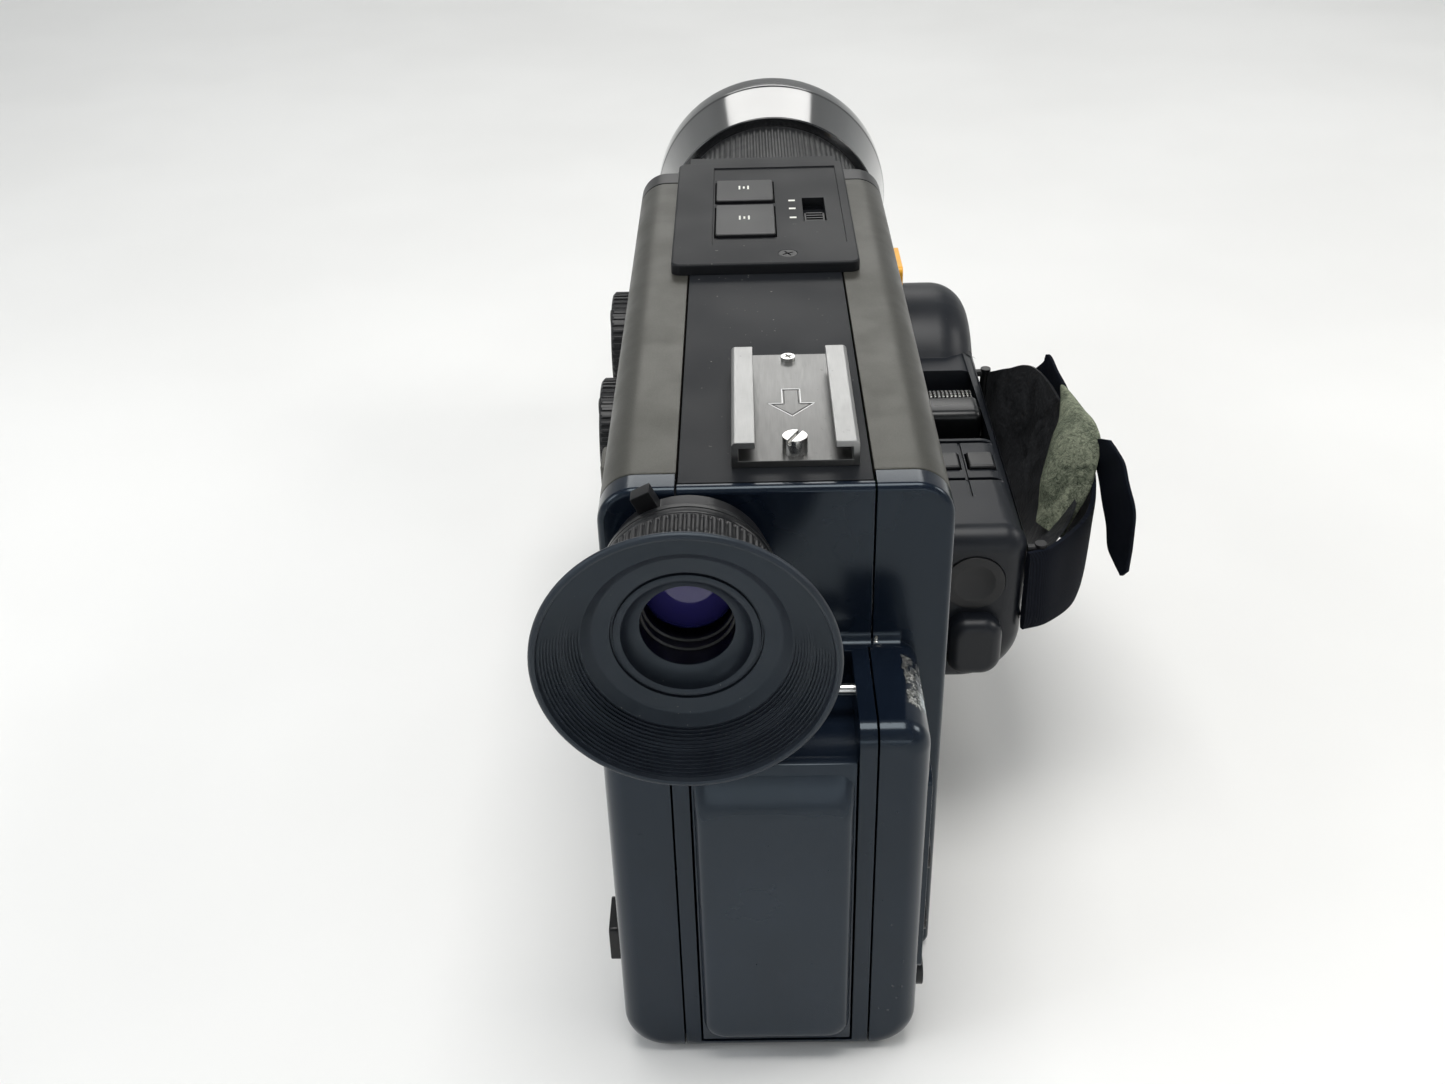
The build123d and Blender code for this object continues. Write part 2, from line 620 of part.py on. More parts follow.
def shoe_stop_pin():
    """The slotted pin that stops a fitting in the shoe."""
    x, y = SHOE_SCREWS[1]
    low = BODY_TOP + SHOE_PLATE
    top = BODY_TOP + STOP_PIN_TOP
    shank = rod_z(SCREW_SHANK - RUNNING, x, y, (BODY_TOP - 1.6, low))
    slot = Pos(x, y, top) * Rot(0, 0, 62) * Box(6, 0.6, 1.6)
    return rod_z(STOP_PIN_RADIUS, x, y, (low, top)) + shank - slot


def zoom_button(name):
    """One of the two sprung zoom buttons in the panel."""
    x, y = {"wide_button": WIDE_BUTTON, "tele_button": TELE_BUTTON}[name]
    z = (BODY_TOP + 0.15, BODY_TOP + PANEL_THICK + 0.35)
    button = rounded(block(grown(x, -BUTTON_GAP), grown(y, -BUTTON_GAP), z), Axis.Z, 0.6)
    return fillet(button.faces().sort_by(Axis.Z)[-1].edges(), 0.3)


def mode_slider():
    """The slider in the panel's window, at its rear end at rest."""
    x = grown(SWITCH_WINDOW[0], -BUTTON_GAP)
    y = (SWITCH_WINDOW[1][0] + BUTTON_GAP, SWITCH_WINDOW[1][0] + 6.8)
    slider = block(x, y, (BODY_TOP - 0.6, BODY_TOP + 1.2))
    for n in range(4):
        ridge = block(grown(x, -0.4), (y[0] + 0.8 + 1.5 * n, y[0] + 1.4 + 1.5 * n),
                      (BODY_TOP + 1.1, BODY_TOP + 1.6))
        slider += ridge
    return slider


def light_switch():
    """The orange slide switch on the right."""
    tab = rounded(block((29.5, 32.6), (63.0, 77.0), (86.2, 91.4)), Axis.X, 1.4)
    return tab + block((26.8, 29.6), (67.0, 73.0), (87.4, 90.1))


def dial(name):
    """A side dial with a knurled edge, a finger groove and its shaft."""
    y, z = DIALS[name]
    disc = rod_x(DIAL_RADIUS, DIAL_X, y, z)
    disc = chamfer(disc.faces().sort_by(Axis.X)[0].edges(), 0.6)
    disc -= rod_x(9.0, (DIAL_X[0] - 1, DIAL_X[0] + 1.2), y, z)
    bridge = block((DIAL_X[0] - 0.6, DIAL_X[0] + 1.6), (y - 1.8, y + 1.8), (z - 8.6, z + 8.6))
    disc += rounded(bridge, Axis.X, 1.6)
    count = 48
    for n in range(count):
        groove = Pos(0, DIAL_RADIUS + 0.3, 0) * Box(6.0, 1.2, 0.8)
        disc -= Pos(sum(DIAL_X) / 2, y, z) * Rot(360.0 * n / count, 0, 0) * groove
    return disc + rod_x(DIAL_SHAFT, (DIAL_X[1], -22.0), y, z)


# ---- Film door ------------------------------------------------------------------------
def film_door():
    """The film door, with ribs for stiffness and a window."""
    x = (-BODY_HALF, -BODY_HALF + FILM_DOOR_THICK)
    door = block(x, FILM_DOOR_Y, FILM_DOOR_Z)
    door = rounded(door, Axis.Z, 0.6, lambda c: c.Y > 50)
    for z in FILM_RIBS_Z:
        door += block((x[1], x[1] + FILM_RIB), (-20.0, 40.0), (z, z + FILM_RIB))
    door += rod_z(FILM_PIN, *FILM_PIVOT, FILM_PIN_Z)
    return door - block((-40, -20), WINDOW_Y, WINDOW_Z)


def film_window():
    """The clear window in the film door."""
    x = (-BODY_HALF + 0.4, -BODY_HALF + FILM_DOOR_THICK - 0.2)
    return block(x, grown(WINDOW_Y, -0.05), grown(WINDOW_Z, -0.05))


def film_latch():
    """The sliding catch behind the film door."""
    knob = rounded(block((-31.0, -29.4), (-41.0, -33.0), (32.5, 40.5)), Axis.X, 1.0)
    return knob + block((-29.5, -26.6), (-38.5, -33.8), (35.0, 38.0))


def film_cartridge():
    """The film cartridge, with the film's opening and the drive core's hole."""
    x, y, z = CARTRIDGE
    body = rounded(block(x, y, z), Axis.X, 3.0)
    body -= block((LENS[0] - 5.0, LENS[0] + 8.0), (y[1] - 1.2, y[1] + 1), (64.0, z[1] + 1))
    return body - rod_x(5.0, (9.0, 20.0), *SPINDLE)


# ---- Works ----------------------------------------------------------------------------
def chassis():
    """The cast frame: mid wall, gear plate, front bulkhead and the posts between them."""
    across = (-CHASSIS_HALF, CHASSIS_HALF)
    wall = block(WALL_X, (-48.0, PLATE_Y[1]), (CHASSIS_FOOT, 78.6))
    wall -= rod_x(SPINDLE_RADIUS + RUNNING, (10, 30), *SPINDLE)
    wall -= block((16, 18), (56.9, PLATE_Y[0]), (24.5, 76.0))
    plate = block(across, PLATE_Y, (CHASSIS_FOOT, CHASSIS_TOP))
    plate -= rod_y(9.0, LENS, (50, 70))
    for shaft in (SHUTTER, DRIVE):
        plate -= rod_y(SHAFT_RADIUS + RUNNING, shaft, (50, 70))
    head = block(across, HEAD_Y, (CHASSIS_FOOT, CHASSIS_TOP))
    head -= rod_y(TUBE_RADIUS + RUNNING, LENS, (70, 90))
    head -= block((24.0, 30), (79, 84), (46.0, 68.0))
    frame = wall + plate + head
    for post in POSTS:
        frame += rod_y(2.6, post, (PLATE_Y[1] - 0.4, HEAD_Y[0] + 0.5))
    return frame


def film_gate():
    """The film gate, with the picture aperture and the claw's slot."""
    plate = block((-6.0, WALL_X[0]), GATE_Y, (54.0, 88.0))
    plate -= Pos(LENS[0], sum(GATE_Y) / 2, LENS[1]) * Box(APERTURE[0], 10, APERTURE[1])
    return plate - block((9.6, 11.8), (50, 60), (68.0, 77.4))


def claw_arm():
    """The claw that pulls the film down, one picture at a time."""
    arm = block((9.8, 11.6), (54.2, 56.0), (60.0, 80.0))
    return arm + block((10.2, 11.2), (51.7, 54.4), (70.6, 71.6))


def shutter_disc():
    """The shutter: a half disc on its shaft, with a small gear."""
    disc = rod_y(SHUTTER_RADIUS, SHUTTER, (58.0, 58.8))
    disc -= block((-40, 40), (50, 70), (SHUTTER[1] + 4.5, 90)) & block((-40, 1.8), (50, 70), (0, 99))
    shaft = rod_y(SHAFT_RADIUS, SHUTTER, (56.5, 68.0))
    return disc + shaft + gear(SHUTTER_TEETH, SHUTTER, GEAR_Y, 1.0, 7.5)


def drive_gear():
    """The large gear between the motor and the shutter."""
    wheel = gear(DRIVE_TEETH, DRIVE, GEAR_Y, 1.0)
    return wheel + rod_y(SHAFT_RADIUS, DRIVE, (59.3, 68.0))


def motor_pinion():
    """The motor's pinion on its shaft."""
    along = math.degrees(math.atan2(MOTOR[1] - DRIVE[1], MOTOR[0] - DRIVE[0]))
    tooth = 360.0 / DRIVE_TEETH
    lag = (along / tooth) % 1.0
    turn = along + 180.0 + (0.5 + lag) * 360.0 / PINION_TEETH
    wheel = gear(PINION_TEETH, MOTOR, GEAR_Y, 1.0, turn)
    return wheel + rod_y(MOTOR_SHAFT, MOTOR, (61.8, 69.0))


def motor():
    """The drive motor, a flat round can."""
    can = rod_y(MOTOR_RADIUS, MOTOR, (67.0, 79.4))
    can = chamfer(can.edges().filter_by(GeomType.CIRCLE), 0.6)
    return can - rod_y(MOTOR_SHAFT + RUNNING, MOTOR, (66.0, 69.4))


def takeup_spindle():
    """The splined spindle that winds the cartridge's core."""
    shaft = rod_x(SPINDLE_RADIUS, (11.0, 25.0), *SPINDLE)
    y, z = SPINDLE
    for n in range(3):
        fin = Pos(0, 3.2, 0) * Box(3.0, 2.0, 0.8)
        shaft += Pos(12.5, y, z) * Rot(120.0 * n, 0, 0) * fin
    return shaft + rod_x(9.0, (20.0, 23.0), y, z)


def circuit_board():
    """The circuit board under the top strip, with its larger components."""
    board = block((-3.0, 26.0), (-50.0, 50.0), (97.0, 98.4))
    for x, y, size in ((3.0, -40.0, 8.0), (16.0, -34.0, 6.0), (4.0, -10.0, 10.0), (16.0, 6.0, 9.0),
                       (5.0, 24.0, 7.0)):
        board += block((x, x + size), (y, y + size * 1.4), (98.3, 101.0))
    return board


def side_sockets():
    """The row of remote and battery sockets on the right."""
    middle = SOCKETS[0][0]
    inner = SOCKET_X[0]
    row = block((inner, inner + 5.6), grown((middle, middle), 4.2), (7.4, 46.0))
    for y, z in SOCKETS:
        row += rod_x(SOCKET_RADIUS, SOCKET_X, y, z)
        row -= rod_x(SOCKET_BORE, (inner + 0.8, 40), y, z)
    return row


def tripod_bush():
    """The threaded bush of the tripod socket."""
    radius, height = TRIPOD_BUSH
    bush = rod_z(radius, 0, 0, (0, height))
    return bush - rod_z(TRIPOD_THREAD, 0, 0, (-1, 8.0))


def case_screws():
    """The screws of the base, the shoe and the panel."""
    screws = []
    for x, y in BASE_SCREWS:
        screws.append(screw(x, y, 0.3, 1.1, -1, 6.0))
    screws.append(screw(*SHOE_SCREWS[0], BODY_TOP + SHOE_PLATE, BODY_TOP + SHOE_PLATE + 0.8, 1, 4.0, 1.3))
    top = BODY_TOP + PANEL_THICK
    screws.append(screw(*PANEL_SCREW, top - 0.75, top - 0.05, 1, 4.0))
    return Compound(children=screws)


def screw(x, y, low, high, face, length, head=None):
    """A cross-head screw whose head spans low to high and faces up (1) or down (-1)."""
    radius = head or SCREW_HEAD - RUNNING
    body = rod_z(radius, x, y, (low, high))
    if face > 0:
        body += rod_z(SCREW_SHANK - RUNNING, x, y, (low - length, low))
        mouth = high
    else:
        body += rod_z(SCREW_SHANK - RUNNING, x, y, (high, high + length))
        mouth = low
    for turn in (30, 120):
        body -= Pos(x, y, mouth) * Rot(0, 0, turn) * Box(1.3 * radius, 0.4, 0.7)
    return body


# ---- Side grip ------------------------------------------------------------------------
def grip_pivot():
    """The hollow pivot that holds the grip on the body's right side."""
    pivot = rod_x(PIVOT_RADIUS, (24.4, 46.0), *HUB) + rod_x(9.0, (24.4, 27.2), *HUB)
    return pivot - rod_x(4.0, (20.0, 42.0), *HUB)


def grip_form(inset=0.0):
    """The outer form of the grip: a rounded bar that runs into a round hub."""
    x = (GRIP_X[0], GRIP_X[1] - inset)
    z = grown(GRIP_Z, -inset)
    bar = block(x, (GRIP_REAR + inset, HUB[0]), z)
    bar = rounded(bar, Axis.Y, GRIP_TOP_RADIUS - inset, lambda c: c.X > 40 and c.Z > HUB[1])
    bar = rounded(bar, Axis.Y, GRIP_FOOT_RADIUS - inset, lambda c: c.X > 40 and c.Z < HUB[1])
    rear = bar.faces().sort_by(Axis.Y)[0]
    bar = fillet([edge for edge in rear.edges() if edge.center().X > x[0] + 1], GRIP_REAR_RADIUS - inset)
    hub = rod_x(HUB_RADIUS - inset, x, *HUB)
    hub = fillet(hub.edges().filter_by(GeomType.CIRCLE).sort_by(Axis.X)[-1:], HUB_ROUNDING - inset)
    return bar + hub


def grip_shell():
    """The grip's shell, open on its inner side, with wells for its controls."""
    shell = grip_form()
    room = grip_form(GRIP_WALL) & block((20, 60), (-60, 120), (0, WELL_FLOOR - 2.0))
    shell -= room
    shell -= block(WELL_X, WELL_Y, (WELL_FLOOR, 90))
    hub_y, hub_z = HUB
    shell += rod_x(10.0, (GRIP_X[0] + PLATE_THICK + 0.2, 48.0), hub_y, hub_z)
    shell -= rod_x(PIVOT_RADIUS + RUNNING, (20, 46.4), hub_y, hub_z)
    shell -= block((20, GRIP_X[0] + PLATE_THICK + 0.1), (-60, 120), (0, WELL_FLOOR + 30))
    for y, z in (WHEEL, ROCKER):
        shell -= rod_x(AXLE_RADIUS + RUNNING, (GRIP_X[0], AXLE_X[1] + 0.2), y, z)
    for x in FINGER_BUTTONS.values():
        shell -= block(grown(x, 0.3), grown(FINGER_Y, 0.3), (69.6, 80))
    shell -= rod_y(THUMB_RADIUS + 0.1, THUMB, (GRIP_REAR - 10, GRIP_REAR + 3.8))
    shell -= block(grown(TRIGGER_X, 0.3), grown(TRIGGER_Y, 0.3), (20, 46))
    for y in SEAMS_Y:
        shell -= block((GRIP_X[0], 48.0), (y, y + SEAM_WIDTH), (GRIP_Z[1] - 0.8, 80))
    shell -= block((40.0, 40.6), (-8.0, 14.0), (GRIP_Z[1] - 0.6, 80))
    return shell + grip_heel()


def grip_heel():
    """The rounded heel at the grip's rear end."""
    heel = rounded(block(*HEEL), Axis.Y, 4.0)
    return fillet(heel.faces().sort_by(Axis.Y)[0].edges(), 2.4)


def grip_cover():
    """The plate that closes the grip's inner side."""
    x = (GRIP_X[0], GRIP_X[0] + PLATE_THICK)
    plate = block(x, (GRIP_REAR, HUB[0]), GRIP_Z)
    plate = rounded(plate, Axis.X, GRIP_REAR_RADIUS, lambda c: c.Y < 0)
    plate += rod_x(HUB_RADIUS, x, *HUB)
    return plate - rod_x(PIVOT_RADIUS + RUNNING, (20, 40), *HUB)


def grip_wheel():
    """The knurled metal wheel in the grip's well."""
    y, z = WHEEL
    wheel = rod_x(WHEEL_RADIUS, (35.0, 46.6), y, z)
    count = 36
    for n in range(count):
        groove = Pos(0, WHEEL_RADIUS + 0.1, 0) * Box(14.0, 0.9, 0.5)
        wheel -= Pos(40.8, y, z) * Rot(360.0 * n / count, 0, 0) * groove
    return wheel + rod_x(AXLE_RADIUS, AXLE_X, y, z)


def zoom_rocker():
    """The rocker behind the wheel, with a serrated rear edge."""
    y, z = ROCKER
    rocker = block((33.0, 47.2), (26.2, 35.2), (62.4, 72.6))
    rocker = rounded(rocker, Axis.X, 1.8, lambda c: c.Z > z)
    for n in range(9):
        x = 34.0 + 1.5 * n
        rocker -= block((x, x + 0.7), (26.0, 27.0), (70.8, 73.0))
    return rocker + rod_x(AXLE_RADIUS, AXLE_X, y, z)


def finger_button(name):
    """A small button on top of the grip."""
    button = block(FINGER_BUTTONS[name], FINGER_Y, (70.6, GRIP_Z[1] + 0.7))
    return fillet(button.faces().sort_by(Axis.Z)[-1].edges(), 0.5)


def thumb_button():
    """The round start button at the grip's rear end, with a dished face."""
    button = rod_y(THUMB_RADIUS, THUMB, (GRIP_REAR - 0.4, GRIP_REAR + 1.9))
    dish = Pos(THUMB[0], GRIP_REAR - 0.4 - 15.4, THUMB[1]) * Sphere(16.0)
    return button - dish


def grip_trigger():
    """The trigger under the grip, which faces forward when the grip is folded down."""
    blade = block(TRIGGER_X, TRIGGER_Y, (29.6, 40.0))
    blade = rounded(blade, Axis.X, 2.0, lambda c: c.Z < 32)
    scoop = rod_x(9.0, (30, 50), sum(TRIGGER_Y) / 2, 29.6 - 7.8)
    return blade - scoop


def strap_anchors():
    """The two steel bars that the hand strap goes round, on their lugs."""
    bars = []
    for y in (STRAP_FRONT[1] + 3.0, STRAP_REAR[1] - 3.0):
        bar = rod_z(ANCHOR_RADIUS, ANCHOR_X, y, grown(ANCHOR_Z, ANCHOR_RADIUS))
        for z in ANCHOR_Z:
            bar += rod_x(0.9, (GRIP_X[1], ANCHOR_X), y, z)
        bars.append(bar)
    return Compound(children=bars)


def strap_arc(shrink):
    """The plan curve of the strap's outer face, moved in by shrink."""
    (fx, fy), (mx, my), (rx, ry) = STRAP_FRONT, STRAP_MIDDLE, STRAP_REAR
    return ThreePointArc((fx, fy - shrink), (mx - shrink, my), (rx, ry + shrink))


def hand_strap():
    """The hand strap, a band that stands out from the grip, and its loose tail."""
    outer = strap_arc(0.0)
    inner = strap_arc(STRAP_THICK)
    ends = [Line(outer @ 0, inner @ 0), Line(outer @ 1, inner @ 1)]
    band = extrude(make_face([outer, inner, *ends]), STRAP_Z[1] - STRAP_Z[0], dir=(0, 0, 1))
    band = Pos(0, 0, STRAP_Z[0]) * band
    tail = plan_plate([(63.2, 0.0), (64.4, 3.0), (72.0, -15.0), (70.4, -16.0)], (57.0, 78.0))
    return band + tail


# ---- Writing --------------------------------------------------------------------------
PARTS = {
    "left_shell": left_shell, "right_shell": right_shell, "base_plate": base_plate,
    "front_panel": front_panel, "top_strip": top_strip, "control_panel": control_panel,
    "rear_left_cover": rear_left_cover, "rear_right_cover": rear_right_cover,
    "rear_centre_frame": rear_centre_frame, "strap_bar": strap_bar,
    "battery_door": battery_door, "battery_latch": battery_latch,
    "battery_magazine": battery_magazine, "battery_cells": battery_cells,
    "finder_tube": finder_tube, "eyepiece_lens": eyepiece_lens, "eyecup": eyecup,
    "dioptre_ring": dioptre_ring, "eyepiece_lever": eyepiece_lever, "lens_tube": lens_tube,
    "rear_lens_group": rear_lens_group, "zoom_ring": zoom_ring, "focus_ring": focus_ring,
    "front_barrel": front_barrel, "front_element": front_element,
    "accessory_shoe": accessory_shoe, "shoe_stop_pin": shoe_stop_pin,
    "mode_slider": mode_slider, "light_switch": light_switch, "film_door": film_door,
    "film_window": film_window, "film_latch": film_latch,
    "film_cartridge": film_cartridge, "chassis": chassis, "film_gate": film_gate,
    "claw_arm": claw_arm, "shutter_disc": shutter_disc, "drive_gear": drive_gear,
    "motor_pinion": motor_pinion, "motor": motor, "takeup_spindle": takeup_spindle,
    "circuit_board": circuit_board, "side_sockets": side_sockets, "tripod_bush": tripod_bush,
    "case_screws": case_screws, "grip_pivot": grip_pivot, "grip_shell": grip_shell,
    "grip_cover": grip_cover, "grip_wheel": grip_wheel, "zoom_rocker": zoom_rocker,
    "thumb_button": thumb_button, "grip_trigger": grip_trigger, "strap_anchors": strap_anchors,
    "hand_strap": hand_strap,
}
FAMILIES = {zoom_button: ("wide_button", "tele_button"), dial: tuple(DIALS),
            finger_button: tuple(FINGER_BUTTONS)}


def write_parts():
    """Write every sub-part to its own STEP file."""
    os.makedirs("parts", exist_ok=True)
    made = {name: make() for name, make in PARTS.items()}
    for make, names in FAMILIES.items():
        for name in names:
            made[name] = make(name)
    for name, shape in made.items():
        export_step(shape, f"parts/{name}.step")


write_parts()
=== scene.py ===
"""Looks for the cine camera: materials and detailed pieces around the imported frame."""
import bmesh
import bpy
import json
import math
import random
from mathutils import Matrix, Vector


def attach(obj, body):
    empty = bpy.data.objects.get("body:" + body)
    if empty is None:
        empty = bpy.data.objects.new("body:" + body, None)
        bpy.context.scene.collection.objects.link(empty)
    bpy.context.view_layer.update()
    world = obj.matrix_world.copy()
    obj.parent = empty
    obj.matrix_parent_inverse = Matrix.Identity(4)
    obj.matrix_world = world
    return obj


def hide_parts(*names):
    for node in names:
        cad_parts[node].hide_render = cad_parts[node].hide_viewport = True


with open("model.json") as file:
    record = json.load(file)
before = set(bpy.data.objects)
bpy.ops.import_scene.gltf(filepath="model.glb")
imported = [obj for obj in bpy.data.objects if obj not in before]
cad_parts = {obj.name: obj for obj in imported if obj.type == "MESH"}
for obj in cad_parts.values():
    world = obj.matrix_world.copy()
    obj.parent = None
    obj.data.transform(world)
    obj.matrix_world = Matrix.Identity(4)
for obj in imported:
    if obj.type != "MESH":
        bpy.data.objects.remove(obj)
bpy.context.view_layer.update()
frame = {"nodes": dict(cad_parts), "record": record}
NODES = frame["nodes"]
RECORD = frame["record"]
BODY_OF = {node: body for body, nodes in RECORD["behaviour"]["bodies"].items() for node in nodes}
MM = 0.001


# ---- Camera ---------------------------------------------------------------------------
CAMERA_PLACE = (-4.22, -269.07, 230.07)     # mm
CAMERA_TILT = 32.72                         # degrees below the horizon
CAMERA_TURN = -1.255                        # degrees to the right of +Y
CAMERA_ROLL = -1.782
CAMERA_LENS = 37.83                         # mm on a sensor 36 mm wide


def make_camera():
    """The camera at the photograph's angle."""
    tilt, turn, roll = (math.radians(a) for a in (CAMERA_TILT, CAMERA_TURN, CAMERA_ROLL))
    ahead = Vector((math.sin(turn) * math.cos(tilt), math.cos(turn) * math.cos(tilt), -math.sin(tilt)))
    level = Vector((math.cos(turn), -math.sin(turn), 0))
    upright = level.cross(ahead)
    right = math.cos(roll) * level + math.sin(roll) * upright
    up = math.cos(roll) * upright - math.sin(roll) * level
    data = bpy.data.cameras.new("camera")
    data.sensor_width = 36
    data.lens = CAMERA_LENS
    data.clip_start = 0.01
    camera = bpy.data.objects.new("camera", data)
    bpy.context.collection.objects.link(camera)
    turned = Matrix((right, up, -ahead)).transposed().to_4x4()
    camera.matrix_world = Matrix.Translation(Vector(CAMERA_PLACE) * MM) @ turned
    bpy.context.scene.camera = camera


make_camera()


# ---- Material building blocks ---------------------------------------------------------
MIX_A, MIX_B, MIX_RESULT = 6, 7, 2          # the Mix node's colour sockets
DUST = (0.42, 0.41, 0.38)


class Shader:
    """A Principled material and short ways to wire its procedural nodes."""

    def __init__(self, name, color, rough, metallic=0.0, coat=0.0, coat_rough=0.1, specular=0.5):
        self.mat = bpy.data.materials.new(name)
        self.mat.use_nodes = True
        self.mat.diffuse_color = (*color, 1)
        self.tree = self.mat.node_tree
        self.out = self.tree.nodes["Principled BSDF"]
        self.set("Base Color", (*color, 1))
        self.set("Roughness", rough)
        self.set("Metallic", metallic)
        self.set("Coat Weight", coat)
        self.set("Coat Roughness", coat_rough)
        self.set("Specular IOR Level", specular)
        self.place = self.tree.nodes.new("ShaderNodeTexCoord").outputs["Object"]
        self.normal = None

    def set(self, socket, value):
        """One value for the whole surface."""
        self.out.inputs[socket].default_value = value

    def node(self, kind, **values):
        """A new node, with its settings and inputs by name."""
        made = self.tree.nodes.new("ShaderNode" + kind)
        for key, value in values.items():
            if hasattr(made, key):
                setattr(made, key, value)
            else:
                made.inputs[key].default_value = value
        return made

    def link(self, source, target):
        self.tree.links.new(source, target)

    def stretched(self, scale):
        """Object coordinates in metres, scaled on each axis."""
        mapping = self.node("Mapping")
        mapping.inputs["Scale"].default_value = scale
        self.link(self.place, mapping.inputs["Vector"])
        return mapping.outputs["Vector"]

    def noise(self, size, detail=3.0, rough=0.55, stretch=(1, 1, 1), warp=0.0):
        """Noise with features of about size metres."""
        made = self.node("TexNoise", Scale=1.0, Detail=detail, Roughness=rough, Distortion=warp)
        scale = [s / size for s in stretch]
        self.link(self.stretched(scale), made.inputs["Vector"])
        return made.outputs["Fac"]

    def cells(self, size):
        """Distance to the nearest of cells of about size metres."""
        made = self.node("TexVoronoi", Scale=1.0)
        self.link(self.stretched([1 / size] * 3), made.inputs["Vector"])
        return made.outputs["Distance"]

    def ramp(self, value, low, high, start=0.0, end=1.0):
        """The value mapped from low..high to start..end, clamped and smoothed."""
        made = self.node("MapRange", interpolation_type="SMOOTHSTEP")
        for key, number in (("From Min", low), ("From Max", high), ("To Min", start), ("To Max", end)):
            made.inputs[key].default_value = number
        self.link(value, made.inputs["Value"])
        return made.outputs["Result"]

    def math(self, operation, first, second):
        """A sum, product or the like of two sockets or numbers."""
        made = self.node("Math", operation=operation)
        for socket, value in zip(made.inputs, (first, second)):
            if hasattr(value, "links"):
                self.link(value, socket)
            else:
                socket.default_value = value
        return made.outputs["Value"]

    def mix(self, factor, first, second):
        """Two colours or colour sockets mixed by factor."""
        made = self.node("Mix", data_type="RGBA")
        self.link(factor, made.inputs["Factor"])
        for socket, value in ((made.inputs[MIX_A], first), (made.inputs[MIX_B], second)):
            if hasattr(value, "links"):
                self.link(value, socket)
            else:
                socket.default_value = (*value, 1)
        return made.outputs[MIX_RESULT]

    def color(self, socket):
        self.link(socket, self.out.inputs["Base Color"])

    def color_so_far(self):
        """The socket that gives the base colour now, to be mixed with more."""
        return self.out.inputs["Base Color"].links[0].from_socket

    def rough(self, socket):
        self.link(socket, self.out.inputs["Roughness"])

    def bump(self, height, distance):
        """Adds a bump whose full height is distance metres."""
        made = self.node("Bump", Strength=1.0, Distance=distance)
        self.link(height, made.inputs["Height"])
        if self.normal:
            self.link(self.normal, made.inputs["Normal"])
        self.normal = made.outputs["Normal"]
        self.link(self.normal, self.out.inputs["Normal"])

    def axis(self, name):
        """One coordinate of the place, in metres."""
        split = self.node("SeparateXYZ")
        self.link(self.place, split.inputs["Vector"])
        return split.outputs[name]


def moulded(name, color, rough, spread=0.05, grain=0.0004, depth=0.000006, dust=0.12, specular=0.36,
            coat=0.0, metallic=0.0):
    """Moulded plastic or paint: slightly uneven tone and gloss, fine grain, hairlines and dust."""
    s = Shader(name, color, rough, metallic=metallic, coat=coat, specular=specular)
    cloud = s.noise(0.02, detail=3)
    darker = tuple(c * 0.88 for c in color)
    lighter = tuple(min(1, c * 1.14 + 0.0006) for c in color)
    tone = s.mix(s.ramp(cloud, 0.3, 0.7), darker, lighter)
    specks = s.ramp(s.noise(0.0008, detail=1), 0.76, 0.79)
    patches = s.ramp(s.noise(0.03, detail=2), 0.48, 0.64)
    amount = s.math("MULTIPLY", s.math("MULTIPLY", specks, patches), dust)
    hairs = s.ramp(s.noise(0.0016, detail=1, stretch=(1, 14, 6), warp=0.3), 0.78, 0.8, 0.0, 0.1 * dust)
    amount = s.math("ADD", amount, hairs)
    s.color(s.mix(amount, tone, DUST))
    smear = s.noise(0.02, detail=1, rough=0.4)
    gloss = s.ramp(smear, 0.3, 0.72, rough - spread, rough + spread)
    s.rough(s.math("ADD", gloss, s.math("MULTIPLY", amount, 0.6)))
    s.bump(s.noise(grain, detail=2), depth)
    return s


# ---- Materials ------------------------------------------------------------------------
CASING_BLACK = (0.0045, 0.0078, 0.015)
CASING_ROUGH = 0.19
CASING_SPREAD = 0.03
# a painted blue cast: reflections of the casing, door and eyecup are tinted blue in place of bluish
# surrounding light
BLUE_SHEEN = (0.78, 0.91, 1.0, 1)


